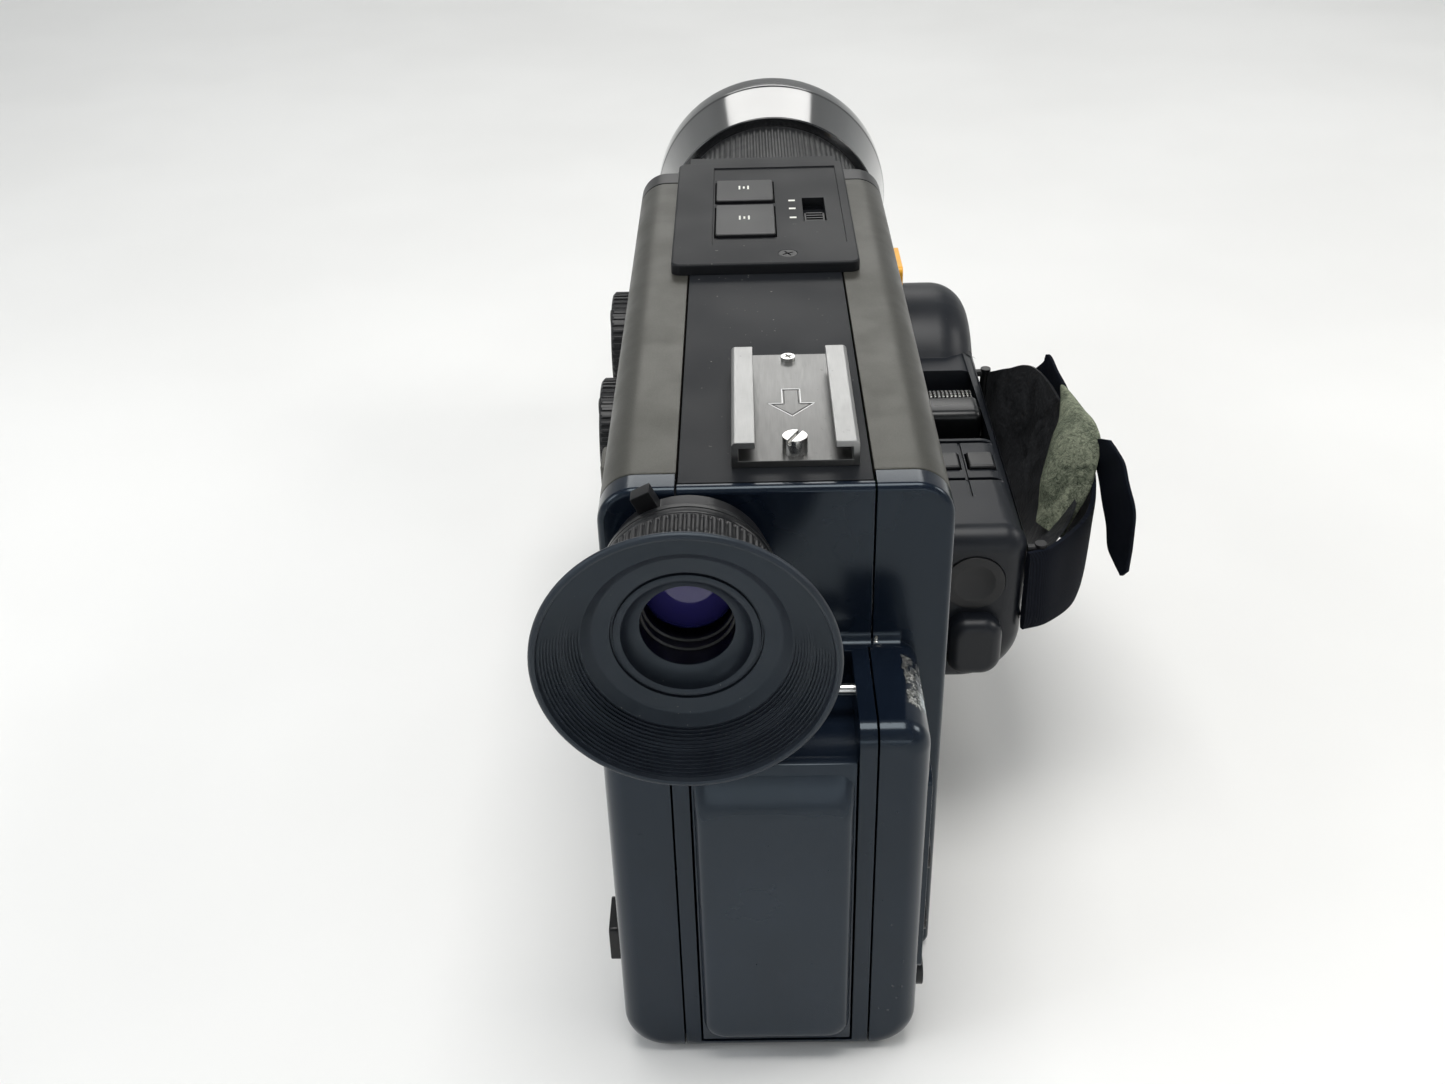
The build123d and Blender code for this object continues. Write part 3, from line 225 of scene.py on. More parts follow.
def make_materials():
    """Every material, by name."""
    made = {}
    made["casing"] = moulded("black_casing", CASING_BLACK, CASING_ROUGH, spread=CASING_SPREAD)
    made["worn_casing"] = worn_casing()
    made["strip"] = moulded("top_strip_black", (0.006, 0.007, 0.009), 0.5, dust=0.5, specular=0.2)
    made["panel"] = moulded("panel_black", (0.006, 0.0066, 0.008), 0.48, grain=0.0003, dust=0.3,
                            specular=0.22)
    made["door"] = moulded("battery_door_black", (0.0075, 0.0115, 0.0195), 0.25, spread=0.01,
                           grain=0.0006, depth=0.000004, dust=0.03, specular=0.41)
    made["grip"] = moulded("grip_black", (0.006, 0.0075, 0.011), 0.4, grain=0.0005, depth=0.00001,
                           dust=0.2, specular=0.3)
    made["control"] = moulded("control_black", (0.006, 0.006, 0.007), 0.36, dust=0.25)
    made["barrel"] = moulded("lens_barrel_black", (0.004, 0.0042, 0.005), 0.16, spread=0.03,
                             depth=0.000003, dust=0.1, specular=0.5, coat=1.0)
    made["ring"] = moulded("lens_ring_black", (0.005, 0.0052, 0.006), 0.3, dust=0.1)
    made["rubber"] = rubber("eyecup_rubber", (0.0115, 0.0142, 0.0205))
    made["ring_rubber"] = rubber("focus_rubber", (0.0065, 0.0068, 0.0074))
    made["shell"] = shell_paint()
    made["shoe_steel"] = shoe_steel()
    made["wheel_steel"] = wheel_steel()
    made["polished"] = brushed("turned_steel", (0.62, 0.615, 0.6), 0.2)
    made["anodised"] = brushed("cast_alloy", (0.42, 0.42, 0.43), 0.42)
    made["brass"] = brushed("gear_brass", (0.72, 0.53, 0.24), 0.3)
    made["engraving"] = brushed("engraved_line", (0.75, 0.75, 0.75), 0.4)
    made["matt_black"] = moulded("inner_matt_black", (0.006, 0.0062, 0.007), 0.7, spread=0.04, dust=0.0)
    made["orange"] = moulded("orange_plastic", (0.88, 0.42, 0.03), 0.32, spread=0.05)
    made["white_mark"] = moulded("white_print", (0.72, 0.72, 0.66), 0.6, spread=0.03, dust=0.0)
    made["cell"] = moulded("cell_jacket", (0.03, 0.05, 0.09), 0.25, metallic=0.4)
    made["film_plastic"] = moulded("cartridge_black", (0.02, 0.02, 0.022), 0.5)
    made["board"] = moulded("circuit_green", (0.02, 0.11, 0.05), 0.3)
    made["glass"] = coated_glass("eyepiece_glass", (0.03, 0.026, 0.12), (0.012, 0.02, 0.1))
    made["front_glass"] = coated_glass("front_glass", (0.02, 0.012, 0.05), (0.006, 0.03, 0.03))
    made["window"] = coated_glass("window_clear", (0.03, 0.045, 0.03), (0.02, 0.03, 0.02))
    made["webbing"] = webbing("strap_webbing", (0.0042, 0.0062, 0.0122))
    made["leather"] = leather("strap_lining", (0.019, 0.0198, 0.0215))
    made["fleece"] = fleece("strap_loop_patch")
    # painted blue cast on the reflections, standing in for bluish surrounding light
    for name in ("casing", "worn_casing", "door", "rubber"):
        made[name].set("Specular Tint", BLUE_SHEEN)
    return made


def worn_casing():
    """The black casing with its paint chipped to bare metal along one corner of the rear block.
    Each zone is a product of ramps (axis, where it is 0, where it is 1), in metres."""
    s = moulded("black_casing_worn", CASING_BLACK, CASING_ROUGH, spread=CASING_SPREAD)
    place = {name: s.axis(name) for name in "XYZ"}

    def within(*limits):
        zone = 1.0
        for name, start, end in limits:
            zone = s.math("MULTIPLY", s.ramp(place[name], start, end), zone)
        return zone

    edge = within(("X", 0.0192, 0.0212), ("Y", -0.0795, -0.0765), ("Y", -0.0605, -0.0645),
                  ("Z", 0.0685, 0.0715), ("Z", 0.0768, 0.0762))
    tip = within(("X", 0.0195, 0.0175), ("Y", -0.0655, -0.0625), ("Z", 0.0742, 0.075),
                 ("Z", 0.0768, 0.0762))
    zone = s.math("MAXIMUM", edge, s.math("MULTIPLY", tip, 0.86))
    flakes = s.noise(0.0019, detail=8, rough=0.72, warp=0.5)
    chips = s.ramp(s.math("MULTIPLY", zone, flakes), 0.47, 0.5)
    grain = s.mix(s.ramp(s.noise(0.0005, detail=3), 0.4, 0.6), (0.16, 0.155, 0.14), (0.62, 0.61, 0.57))
    s.color(s.mix(chips, s.color_so_far(), grain))
    s.link(s.math("MULTIPLY", chips, 0.8), s.out.inputs["Metallic"])
    s.bump(s.math("SUBTRACT", 1.0, chips), 0.00012)
    return s


def rubber(name, color):
    """Matt rubber with dust caught in it."""
    s = Shader(name, color, 0.44, specular=0.42)
    cloud = s.noise(0.012, detail=4)
    tone = s.mix(s.ramp(cloud, 0.3, 0.75), tuple(c * 0.85 for c in color), tuple(c * 1.25 for c in color))
    specks = s.ramp(s.noise(0.0006, detail=2), 0.72, 0.76)
    patches = s.ramp(s.noise(0.022, detail=2), 0.5, 0.66)
    amount = s.math("MULTIPLY", s.math("MULTIPLY", specks, patches), 0.35)
    s.color(s.mix(amount, tone, (0.35, 0.33, 0.28)))
    s.rough(s.ramp(s.noise(0.006, detail=3), 0.3, 0.7, 0.38, 0.5))
    s.bump(s.noise(0.0005, detail=3), 0.000012)
    return s


def shell_paint():
    """Olive-grey metallic paint with a fine flake, small marks and rubbed patches."""
    s = Shader("shell_paint", (0.1, 0.098, 0.083), 0.4, metallic=0.6, specular=0.4)
    flake = s.ramp(s.noise(0.00016, detail=1), 0.3, 0.7)
    base = s.mix(flake, (0.062, 0.061, 0.053), (0.086, 0.084, 0.073))
    worn = s.ramp(s.noise(0.02, detail=5, rough=0.6), 0.5, 0.8, 0.0, 0.12)
    base = s.mix(worn, base, (0.078, 0.076, 0.066))
    marks = s.ramp(s.noise(0.0016, detail=3, rough=0.7, stretch=(1, 3, 1)), 0.73, 0.78, 0.0, 0.3)
    s.color(s.mix(marks, base, (0.26, 0.255, 0.23)))
    s.rough(s.ramp(s.noise(0.01, detail=4), 0.3, 0.7, 0.36, 0.46))
    s.bump(s.noise(0.0003, detail=2), 0.000004)
    return s


def brushed(name, color, rough, stretch=(1, 1, 1)):
    """Bare metal with an even grain, or with fine brushing along an axis whose stretch is small."""
    s = Shader(name, color, rough, metallic=1.0)
    lines = s.noise(0.00012, detail=3, rough=0.6, stretch=stretch)
    cloud = s.noise(0.01, detail=3)
    tone = s.mix(s.ramp(cloud, 0.25, 0.75), tuple(c * 0.9 for c in color), color)
    grime = s.ramp(s.noise(0.0011, detail=2), 0.7, 0.78, 0.0, 0.5)
    s.color(s.mix(grime, tone, tuple(c * 0.4 for c in color)))
    s.rough(s.ramp(lines, 0.25, 0.75, rough - 0.04, rough + 0.07))
    s.bump(lines, 0.0000012)
    return s


SHOE_FLOOR = (0.1086, 0.1074)               # heights, in metres, where the lips end and the floor starts
SHOE_SHADE_RUN = (-0.022, -0.05)               # the floor's front and rear, in metres, over which its painted shade deepens


def shoe_steel():
    """The shoe's steel, with painted shade on its floor between its two lips, deepening towards the rear.
    """
    s = brushed("shoe_steel", (0.4, 0.4, 0.395), 0.36, (1, 0.03, 1))
    low = s.ramp(s.axis("Z"), *SHOE_FLOOR)
    # painted shade: the floor below the lips is darkened, more towards the rear
    floor = s.math("MULTIPLY", low, s.ramp(s.axis("Y"), *SHOE_SHADE_RUN, 0.42, 0.7))
    s.color(s.mix(floor, s.color_so_far(), (0.09, 0.088, 0.084)))
    return s


def wheel_steel():
    """Bright steel cut with fine rings, for the grip's wheel, with painted shade darkening the grooves
    between the rings.
    """
    s = brushed("wheel_steel", (0.6, 0.6, 0.59), 0.24)
    rings = s.node("TexWave", wave_type="BANDS", bands_direction="X", Scale=1.0)
    s.link(s.stretched((340, 0, 0)), rings.inputs["Vector"])
    # painted shade: the grooves between the rings are coloured near black
    s.color(s.mix(s.ramp(rings.outputs["Fac"], 0.25, 0.6), (0.05, 0.05, 0.05), (0.66, 0.66, 0.65)))
    s.bump(rings.outputs["Fac"], 0.00015)
    return s


def coated_glass(name, core, edge):
    """Dark coated glass: a tinted depth under a clear, glossy face, whose colour turns from the core tint
    to the edge tint towards glancing angles, a painted reflection of the coating.
    """
    s = Shader(name, core, 0.05, specular=0.6, coat=0.5, coat_rough=0.03)
    s.set("Coat Tint", (0.6, 0.55, 1.0, 1))
    facing = s.node("LayerWeight", Blend=0.35).outputs["Facing"]
    # painted reflection: the base colour shifts with the viewing angle, as the coating's tinted
    # reflection would
    s.color(s.mix(s.ramp(facing, 0.1, 0.9), core, edge))
    s.rough(s.ramp(s.noise(0.003, detail=5, warp=1.0), 0.35, 0.7, 0.03, 0.14))
    return s


def webbing(name, color):
    """Tightly woven nylon webbing."""
    s = Shader(name, color, 0.8, specular=0.1)
    warp = s.node("TexWave", wave_type="BANDS", bands_direction="Z", Scale=1.0)
    s.link(s.stretched((0, 0, 2600)), warp.inputs["Vector"])
    weft = s.node("TexWave", wave_type="BANDS", bands_direction="Y", Scale=1.0)
    s.link(s.stretched((1400, 1400, 0)), weft.inputs["Vector"])
    weave = s.math("MULTIPLY", warp.outputs["Fac"], weft.outputs["Fac"])
    tone = s.mix(s.ramp(weave, 0.05, 0.6), tuple(c * 0.55 for c in color), tuple(c * 1.6 for c in color))
    lint = s.ramp(s.noise(0.0009, detail=3), 0.7, 0.77, 0.0, 0.3)
    s.color(s.mix(lint, tone, (0.1, 0.105, 0.1)))
    s.bump(weave, 0.00012)
    s.bump(s.noise(0.0006, detail=3), 0.00004)
    return s


def leather(name, color):
    """Soft lining with a fine pebble and creases."""
    s = Shader(name, color, 0.6, specular=0.16)
    pebble = s.cells(0.0009)
    crease = s.noise(0.008, detail=6, rough=0.7, warp=1.2)
    tone = s.mix(s.ramp(crease, 0.3, 0.7), tuple(c * 0.6 for c in color), tuple(c * 1.7 for c in color))
    lint = s.ramp(s.noise(0.0008, detail=3), 0.69, 0.75, 0.0, 0.35)
    s.color(s.mix(lint, tone, (0.13, 0.135, 0.1)))
    s.rough(s.ramp(crease, 0.3, 0.7, 0.42, 0.62))
    s.bump(pebble, 0.00008)
    s.bump(crease, 0.0003)
    return s


def fleece(name):
    """The fuzzy loop side of a hook-and-loop strap, greened and matted with lint."""
    s = Shader(name, (0.05, 0.062, 0.04), 0.9, specular=0.2)
    s.set("Sheen Weight", 0.5)
    s.set("Sheen Roughness", 0.5)
    s.set("Sheen Tint", (0.62, 0.7, 0.5, 1))
    tufts = s.noise(0.0009, detail=6, rough=0.75, warp=1.5)
    mats = s.noise(0.006, detail=5, rough=0.65, warp=0.8)
    low = s.mix(s.ramp(tufts, 0.38, 0.62), (0.009, 0.012, 0.01), (0.1, 0.115, 0.08))
    high = s.mix(s.ramp(tufts, 0.36, 0.62), (0.06, 0.07, 0.05), (0.27, 0.29, 0.21))
    s.color(s.mix(s.ramp(mats, 0.4, 0.56), low, high))
    s.bump(tufts, 0.0006)
    s.bump(mats, 0.0008)
    return s


MATERIALS = make_materials()


def paint(piece, name):
    """Gives the piece one material."""
    piece.data.materials.clear()
    piece.data.materials.append(MATERIALS[name].mat)


# ---- Piece building blocks ------------------------------------------------------------
SMOOTH_BEND = 32.0          # degrees: a sharper edge stays sharp in the shading
SOFTENED_BEND = 25.0        # the same, on a CAD node with rounded edges
FLAT_BEND = 0.6             # degrees: flatter edges are dissolved before the edges are rounded
SHARP_BEND = 38.0           # degrees: sharper edges are rounded


def add_piece(name, bm, material, body, smooth_angle=SMOOTH_BEND):
    """Makes an object from the bmesh, shades it, paints it and rides it on its body."""
    bmesh.ops.recalc_face_normals(bm, faces=bm.faces)
    mesh = bpy.data.meshes.new(name)
    bm.to_mesh(mesh)
    bm.free()
    piece = bpy.data.objects.new(name, mesh)
    bpy.context.collection.objects.link(piece)
    shade(mesh, smooth_angle)
    paint(piece, material)
    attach(piece, body)
    return piece


def shade(mesh, angle):
    """Smooth shading, with edges sharper than angle degrees kept sharp."""
    bm = bmesh.new()
    bm.from_mesh(mesh)
    for face in bm.faces:
        face.smooth = True
    for edge in bm.edges:
        edge.smooth = not edge.is_manifold or edge.calc_face_angle(0) < math.radians(angle)
    bm.to_mesh(mesh)
    bm.free()


def soften(node, width, material):
    """A copy of a CAD node with its sharp edges rounded by width mm, in its place."""
    bm = bmesh.new()
    bm.from_mesh(NODES[node].data)
    bmesh.ops.remove_doubles(bm, verts=bm.verts, dist=1e-6)
    bmesh.ops.dissolve_limit(bm, angle_limit=math.radians(FLAT_BEND), verts=bm.verts, edges=bm.edges)
    sharp = [e for e in bm.edges if e.is_manifold and e.calc_face_angle(0) > math.radians(SHARP_BEND)]
    bmesh.ops.bevel(bm, geom=sharp, offset=width * MM, offset_type="OFFSET", segments=2,
                    profile=0.5, affect="EDGES", clamp_overlap=False, loop_slide=True)
    piece = add_piece(node + "_finish", bm, material, BODY_OF[node], SOFTENED_BEND)
    even = piece.modifiers.new("even_normals", "WEIGHTED_NORMAL")
    even.keep_sharp = True
    stand_in(node)


def stand_in(node):
    """Hides a CAD node, whose place a new piece takes."""
    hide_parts(node)


def lathe(name, profile, axis, material, body, steps, wave=None, smooth_angle=SMOOTH_BEND):
    """Turns a closed profile of (radius, y) in mm about the Y line at axis = (x, z) mm.
    wave(index, angle) may return a change of radius for a profile point."""
    bm = bmesh.new()
    rings = []
    for step in range(steps):
        angle = 2 * math.pi * step / steps
        ring = []
        for index, (radius, y) in enumerate(profile):
            grown = radius + (wave(index, angle) if wave else 0.0)
            place = Vector((axis[0] + grown * math.cos(angle), y, axis[1] + grown * math.sin(angle)))
            ring.append(bm.verts.new(place * MM))
        rings.append(ring)
    count = len(profile)
    for step in range(steps):
        here, there = rings[step], rings[(step + 1) % steps]
        for index in range(count):
            after = (index + 1) % count
            bm.faces.new((here[index], here[after], there[after], there[index]))
    bmesh.ops.remove_doubles(bm, verts=bm.verts, dist=1e-7)
    return add_piece(name, bm, material, body, smooth_angle)


def arc(centre, radius, start, end, count):
    """Points on an arc, for a profile; angles in degrees."""
    spots = []
    for n in range(count + 1):
        angle = math.radians(start + (end - start) * n / count)
        spots.append((centre[0] + radius * math.cos(angle), centre[1] + radius * math.sin(angle)))
    return spots


def slab(name, x, y, z, material, body, bevel, segments=2):
    """A bevelled block between the given limits in mm."""
    bm = bmesh.new()
    bmesh.ops.create_cube(bm, size=1.0)
    for vert in bm.verts:
        vert.co = Vector([(low + high) / 2 + c * (high - low) for (low, high), c in
                          zip((x, y, z), vert.co)]) * MM
    bmesh.ops.bevel(bm, geom=bm.edges[:], offset=bevel * MM, segments=segments, profile=0.5,
                    affect="EDGES")
    return add_piece(name, bm, material, body)


def spline(points, count):
    """A smooth run of count + 1 points through the given points."""
    ends = [2 * points[0] - points[1], *points, 2 * points[-1] - points[-2]]
    made = []
    for n in range(count + 1):
        along = n / count * (len(points) - 1)
        index = min(int(along), len(points) - 2)
        t = along - index
        a, b, c, d = ends[index:index + 4]
        made.append(0.5 * (2 * b + (c - a) * t + (2 * a - 5 * b + 4 * c - d) * t * t
                           + (3 * b - a - 3 * c + d) * t ** 3))
    return made


def ribbon(name, low, high, thickness, material, seed, ripple=0.25, bow=0.0):
    """A strip of cloth on the grip, between two rails of (x, y, z) points in mm, with a gentle
    ripple. bow pushes its middle line out along its normal."""
    along, across = 72, 14
    rails = [spline([Vector(p) for p in rail], along) for rail in (low, high)]
    wander = random.Random(seed)
    phases = [wander.uniform(0, 6.28) for _ in range(3)]
    grid = [[start.lerp(end, j / across) for j in range(across + 1)] for start, end in zip(*rails)]
    normals = []
    for i in range(along + 1):
        row = []
        for j in range(across + 1):
            run = grid[min(i + 1, along)][j] - grid[max(i - 1, 0)][j]
            rise = grid[i][min(j + 1, across)] - grid[i][max(j - 1, 0)]
            row.append(run.cross(rise).normalized())
        normals.append(row)
    bm = bmesh.new()
    sides = []
    for side in (-0.5, 0.5):
        verts = []
        for i in range(along + 1):
            row = []
            for j in range(across + 1):
                u, v = i / along, j / across
                wave = math.sin(9 * u + phases[0] + 2 * v) + 0.6 * math.sin(21 * u + phases[1] - 3 * v)
                wave += 0.5 * math.sin(5 * v + phases[2] + 7 * u)
                edge = 1 - (2 * v - 1) ** 8
                shift = ripple * wave * min(1, 6 * u, 6 * (1 - u)) + bow * (1 - (2 * v - 1) ** 2)
                puff = thickness * (0.55 + 0.45 * edge)
                row.append(bm.verts.new((grid[i][j] + normals[i][j] * (shift + side * puff)) * MM))
            verts.append(row)
        sides.append(verts)
    under, over = sides
    for i in range(along):
        for j in range(across):
            bm.faces.new((under[i][j], under[i][j + 1], under[i + 1][j + 1], under[i + 1][j]))
            bm.faces.new((over[i][j], over[i + 1][j], over[i + 1][j + 1], over[i][j + 1]))
    for i in range(along):
        for j, way in ((0, 1), (across, -1)):
            quad = (under[i][j], under[i + 1][j], over[i + 1][j], over[i][j])
            bm.faces.new(quad[::way])
    for j in range(across):
        for i, way in ((0, -1), (along, 1)):
            quad = (under[i][j], under[i][j + 1], over[i][j + 1], over[i][j])
            bm.faces.new(quad[::way])
    return add_piece(name, bm, material, "grip", 70.0)


# ---- Casing ---------------------------------------------------------------------------
def make_casing():
    """The casing pieces, with softened edges."""
    for node, width, material in (
            ("left_shell", 0.35, "shell"), ("right_shell", 0.35, "shell"),
            ("base_plate", 0.15, "casing"), ("front_panel", 0.2, "control"),
            ("top_strip", 0.12, "strip"), ("control_panel", 0.12, "panel"),
            ("rear_left_cover", 0.14, "casing"), ("rear_right_cover", 0.14, "worn_casing"),
            ("rear_centre_frame", 0.14, "casing"),
            ("battery_latch", 0.2, "control"), ("film_door", 0.25, "casing"),
            ("film_latch", 0.2, "control"), ("accessory_shoe", 0.14, "shoe_steel"),
            ("shoe_stop_pin", 0.12, "polished"), ("wide_button", 0.1, "control"),
            ("tele_button", 0.1, "control"), ("mode_slider", 0.08, "control"),
            ("light_switch", 0.25, "orange"), ("front_dial", 0.1, "control"),
            ("rear_dial", 0.1, "control"), ("side_sockets", 0.15, "control"),
            ("grip_shell", 0.09, "grip"), ("grip_cover", 0.2, "grip"),
            ("grip_wheel", 0.08, "wheel_steel"),
            ("thumb_button", 0.2, "control"), ("grip_trigger", 0.3, "control"),
            ("finger_button_inner", 0.15, "control"), ("finger_button_outer", 0.15, "control"),
            ("strap_anchors", 0.1, "control"), ("eyepiece_lever", 0.2, "control"),
            ("tripod_bush", 0.2, "polished")):
        soften(node, width, material)


DOOR_X, DOOR_Y, DOOR_Z = (-14.6, 12.2), (-84.6, -82.4), (3.4, 69.0)
PANEL_X, PANEL_Z = (-14.3, 11.9), (6.0, 66.9)
PANEL_CORNER = 3.2
# Rings of the panel: y, how far in from its sides and its foot, and how far down from its top
PANEL_RINGS = ((-84.5, 0.0, 0.0), (-85.2, 0.1, 1.2), (-85.9, 0.26, 2.6), (-86.5, 0.52, 3.9),
               (-86.9, 0.85, 4.8), (-87.12, 1.3, 5.5), (-87.2, 1.9, 6.3), (-87.2, 3.0, 7.5))


def panel_ring(bm, y, inset, lowered):
    """One rounded rectangle of the door's panel, as vertices."""
    left, right = PANEL_X[0] + inset, PANEL_X[1] - inset
    foot, top = PANEL_Z[0] + inset, PANEL_Z[1] - lowered
    ring = []
    for corner, start, inward in (((right, top), 0, (-1, -1)), ((left, top), 90, (1, -1)),
                                  ((left, foot), 180, (1, 1)), ((right, foot), 270, (-1, 1))):
        centre = [c + PANEL_CORNER * way for c, way in zip(corner, inward)]
        for x, z in arc(centre, PANEL_CORNER, start, start + 90, 6):
            ring.append(bm.verts.new(Vector((x, y, z)) * MM))
    return ring


def make_battery_door():
    """The battery door: a plate, and the pillow-shaped panel that swells out of it."""
    plate = slab("battery_door_plate", DOOR_X, DOOR_Y, DOOR_Z, "door", "battery_door", 0.3)
    bm = bmesh.new()
    rings = [panel_ring(bm, *row) for row in PANEL_RINGS]
    for near, far in zip(rings, rings[1:]):
        for n in range(len(near)):
            after = (n + 1) % len(near)
            bm.faces.new((near[n], near[after], far[after], far[n]))
    bm.faces.new(rings[0])
    bm.faces.new(rings[-1])
    pillow = add_piece("battery_door_panel", bm, "door", "battery_door", 50.0)
    for piece in (plate, pillow):
        stand_in("battery_door")


# ---- Eyepiece -------------------------------------------------------------------------
EYE = (-14.2, 92.9)                 # X, Z of the eyepiece's axis
RIB_STEPS = 14
RIBS_FROM, RIBS_TO = (16.2, -83.9), (22.2, -89.55)
KNURL_TEETH = 70


def make_eyecup():
    """The flared rubber cup, with its inside stepped into fine ribs."""
    ribs = [(14.8, -82.6), (15.9, -83.65)]
    step = [(end - start) / RIB_STEPS for start, end in zip(RIBS_FROM, RIBS_TO)]
    for n in range(RIB_STEPS):
        radius, y = (start + n * rise for start, rise in zip(RIBS_FROM, step))
        ribs += [(radius, y), (radius + step[0], y + 0.04)]
    outline = [(10.45, -76.2), (13.9, -76.2), *arc((13.9, -76.5), 0.3, 90, 0, 4),
               (14.6, -78.2), (15.5, -80.6), (16.4, -82.6), (17.5, -84.7), (19.0, -86.2),
               (20.9, -87.5), (22.8, -88.65)]
    outline += arc((22.75, -89.35), 0.72, 60, -90, 12)
    outline += [(22.4, -89.9), *ribs[::-1], (14.5, -82.42), (14.2, -82.36), (12.1, -82.3),
                (11.85, -82.2), (11.75, -81.7), (11.45, -81.7), (11.35, -82.2), (11.1, -82.3),
                (10.6, -82.3), (10.2, -82.1), (9.95, -81.4), (9.5, -80.6), (8.7, -79.9),
                (7.9, -79.55), (7.45, -79.4), (7.4, -79.3), (7.4, -79.08), (10.45, -79.08)]
    cup = lathe("eyecup_flare", outline, EYE, "rubber", "camera_body", steps=192)
    stand_in("eyecup")


def make_dioptre_ring():
    """The knurled ring in front of the eyecup."""
    def knurl(index, angle):
        wave = max(-0.32, min(0.12, 0.42 * math.cos(KNURL_TEETH * angle)))
        return wave if 5 <= index <= 18 else 0.0

    ring_line = [(10.5, -75.6), (14.1, -75.6), *arc((14.1, -75.0), 0.6, -90, -20, 3)]
    ring_line += [(14.86, -74.7 + 0.33 * n) for n in range(14)]
    ring_line += [*arc((14.2, -70.1), 0.5, 20, 90, 3), (10.5, -69.6)]
    ring = lathe("dioptre_knurl", ring_line, EYE, "control", "dioptre_ring", steps=8 * KNURL_TEETH,
                 wave=knurl, smooth_angle=50)
    stand_in("dioptre_ring")


def make_finder():
    """The finder's tube and the glass of its eyepiece."""
    tube = [(7.6, -78.95), *arc((10.1, -78.65), 0.3, -90, 0, 4), (10.4, -69.2), (13.9, -69.2),
            *arc((13.9, -68.7), 0.5, -90, 0, 4), (14.4, -67.9), (14.25, -67.8), (14.25, -67.6),
            (14.4, -67.5), *arc((13.9, -66.7), 0.5, 0, 90, 4), (11.0, -66.2), (11.0, -52.0),
            (9.0, -52.0), (9.0, 56.0), (7.7, 56.0), (7.7, -64.0)]
    tube += [(7.7, -72.2), (7.2, -72.4), (7.2, -73.0), (7.55, -73.2), (7.55, -74.6), (7.3, -74.8),
             (7.3, -75.2), (7.65, -75.4), (7.65, -77.2)]
    barrel = lathe("finder_barrel", tube, EYE, "ring", "camera_body", steps=128)
    stand_in("finder_tube")

    dome = [(0.0, -66.6), (7.45, -66.6), (7.55, -66.8), (7.55, -69.5), (7.4, -69.8)]
    dome += [(7.2 * math.cos(math.radians(a)), -69.9 - 1.7 * math.sin(math.radians(a)))
             for a in range(8, 90, 8)] + [(0.0, -71.6)]
    glass = lathe("eyepiece_glass", dome, EYE, "glass", "camera_body", steps=96)
    stand_in("eyepiece_lens")


def make_eyepiece():
    """The whole eyepiece, from its cup to its glass."""
    make_eyecup()
    make_dioptre_ring()
    make_finder()


# ---- Lens -----------------------------------------------------------------------------
LENS = (3.9, 71.2)                  # X, Z of the lens's axis
FRONT = 175.0                       # Y of the lens's front rim, in mm
SEAT = FRONT - 16.0                 # Y of the front glass's seat
RING_Y = (116.4, 144.4)             # the ribbed part of the focus ring
RING_RIBS = 108


def make_front_barrel():
    """The flared barrel, with light-trapping grooves inside its rim."""
    cone = [(24.0, 146.6), (30.25, 146.6), *arc((30.25, 146.95), 0.35, -90, -10, 3)]
    cone += [(30.63, 147.2), (33.3, 166.0), (33.4, 166.6), (33.52, 166.9), (33.6, 167.4), (33.6, 173.8)]
    cone += arc((32.9, 174.3), 0.7, 0, 90, 6)
    cone += [(32.0, FRONT), (31.2, FRONT - 0.2), (30.2, FRONT - 0.6), (29.0, FRONT - 1.4)]
    for n in range(7):
        y = FRONT - 1.8 - 0.75 * n
        cone += [(29.0, y), (29.35, y - 0.22), (29.35, y - 0.32), (29.0, y - 0.55)]
    cone += [(29.0, FRONT - 6.8), (26.6, FRONT - 6.8)]
    for n in range(8):
        y = FRONT - 7.4 - 1.0 * n
        cone += [(26.6, y), (26.95, y - 0.35), (26.6, y - 0.7)]
    cone += [(26.6, SEAT), (24.0, SEAT)]
    barrel = lathe("barrel_shell", cone, LENS, "barrel", "focus_ring", steps=224)
    stand_in("front_barrel")


def make_focus_ring():
    """The ribbed rubber ring."""
    def ribs(index, angle):
        wave = 0.28 * max(-0.5, min(0.8, 1.6 * math.cos(RING_RIBS * angle)))
        return wave if 4 <= index <= 17 else 0.0

    focus = [(23.56, 114.6), (27.6, 114.6), (28.1, 114.9), (28.2, 115.6)]
    focus += [(28.1, RING_Y[0] + (RING_Y[1] - RING_Y[0]) * n / 13) for n in range(14)]
    focus += [(28.3, 145.2), (28.2, 146.1), (27.8, 146.5), (23.56, 146.5)]
    ring = lathe("focus_grip", focus, LENS, "ring_rubber", "focus_ring", steps=8 * RING_RIBS,
                 wave=ribs, smooth_angle=45)
    stand_in("focus_ring")


def make_front_glass():
    """The domed front glass."""
    dome = [(0.0, SEAT), (26.3, SEAT), (26.55, SEAT + 0.3), (26.55, SEAT + 2.4), (26.0, SEAT + 2.8)]
    dome += [(25.8 * math.cos(math.radians(a)), SEAT + 2.9 + 5.6 * math.sin(math.radians(a)))
             for a in range(5, 90, 5)] + [(0.0, SEAT + 8.5)]
    glass = lathe("front_glass_dome", dome, LENS, "front_glass", "focus_ring", steps=128)
    stand_in("front_element")


def make_lens():
    """The whole lens, from its barrel to its glass."""
    make_front_barrel()
    make_focus_ring()
    soften("zoom_ring", 0.3, "ring")
    soften("lens_tube", 0.3, "anodised")
    make_front_glass()


# ---- Grip rocker ----------------------------------------------------------------------
def make_rocker():
    """The zoom rocker: a smooth rounded bar across the grip's well."""
    rocker = slab("zoom_rocker_bar", (33.0, 47.2), (26.2, 35.2), (62.4, 72.6), "ring", "zoom_rocker",
                  1.7, segments=5)
    stand_in("zoom_rocker")


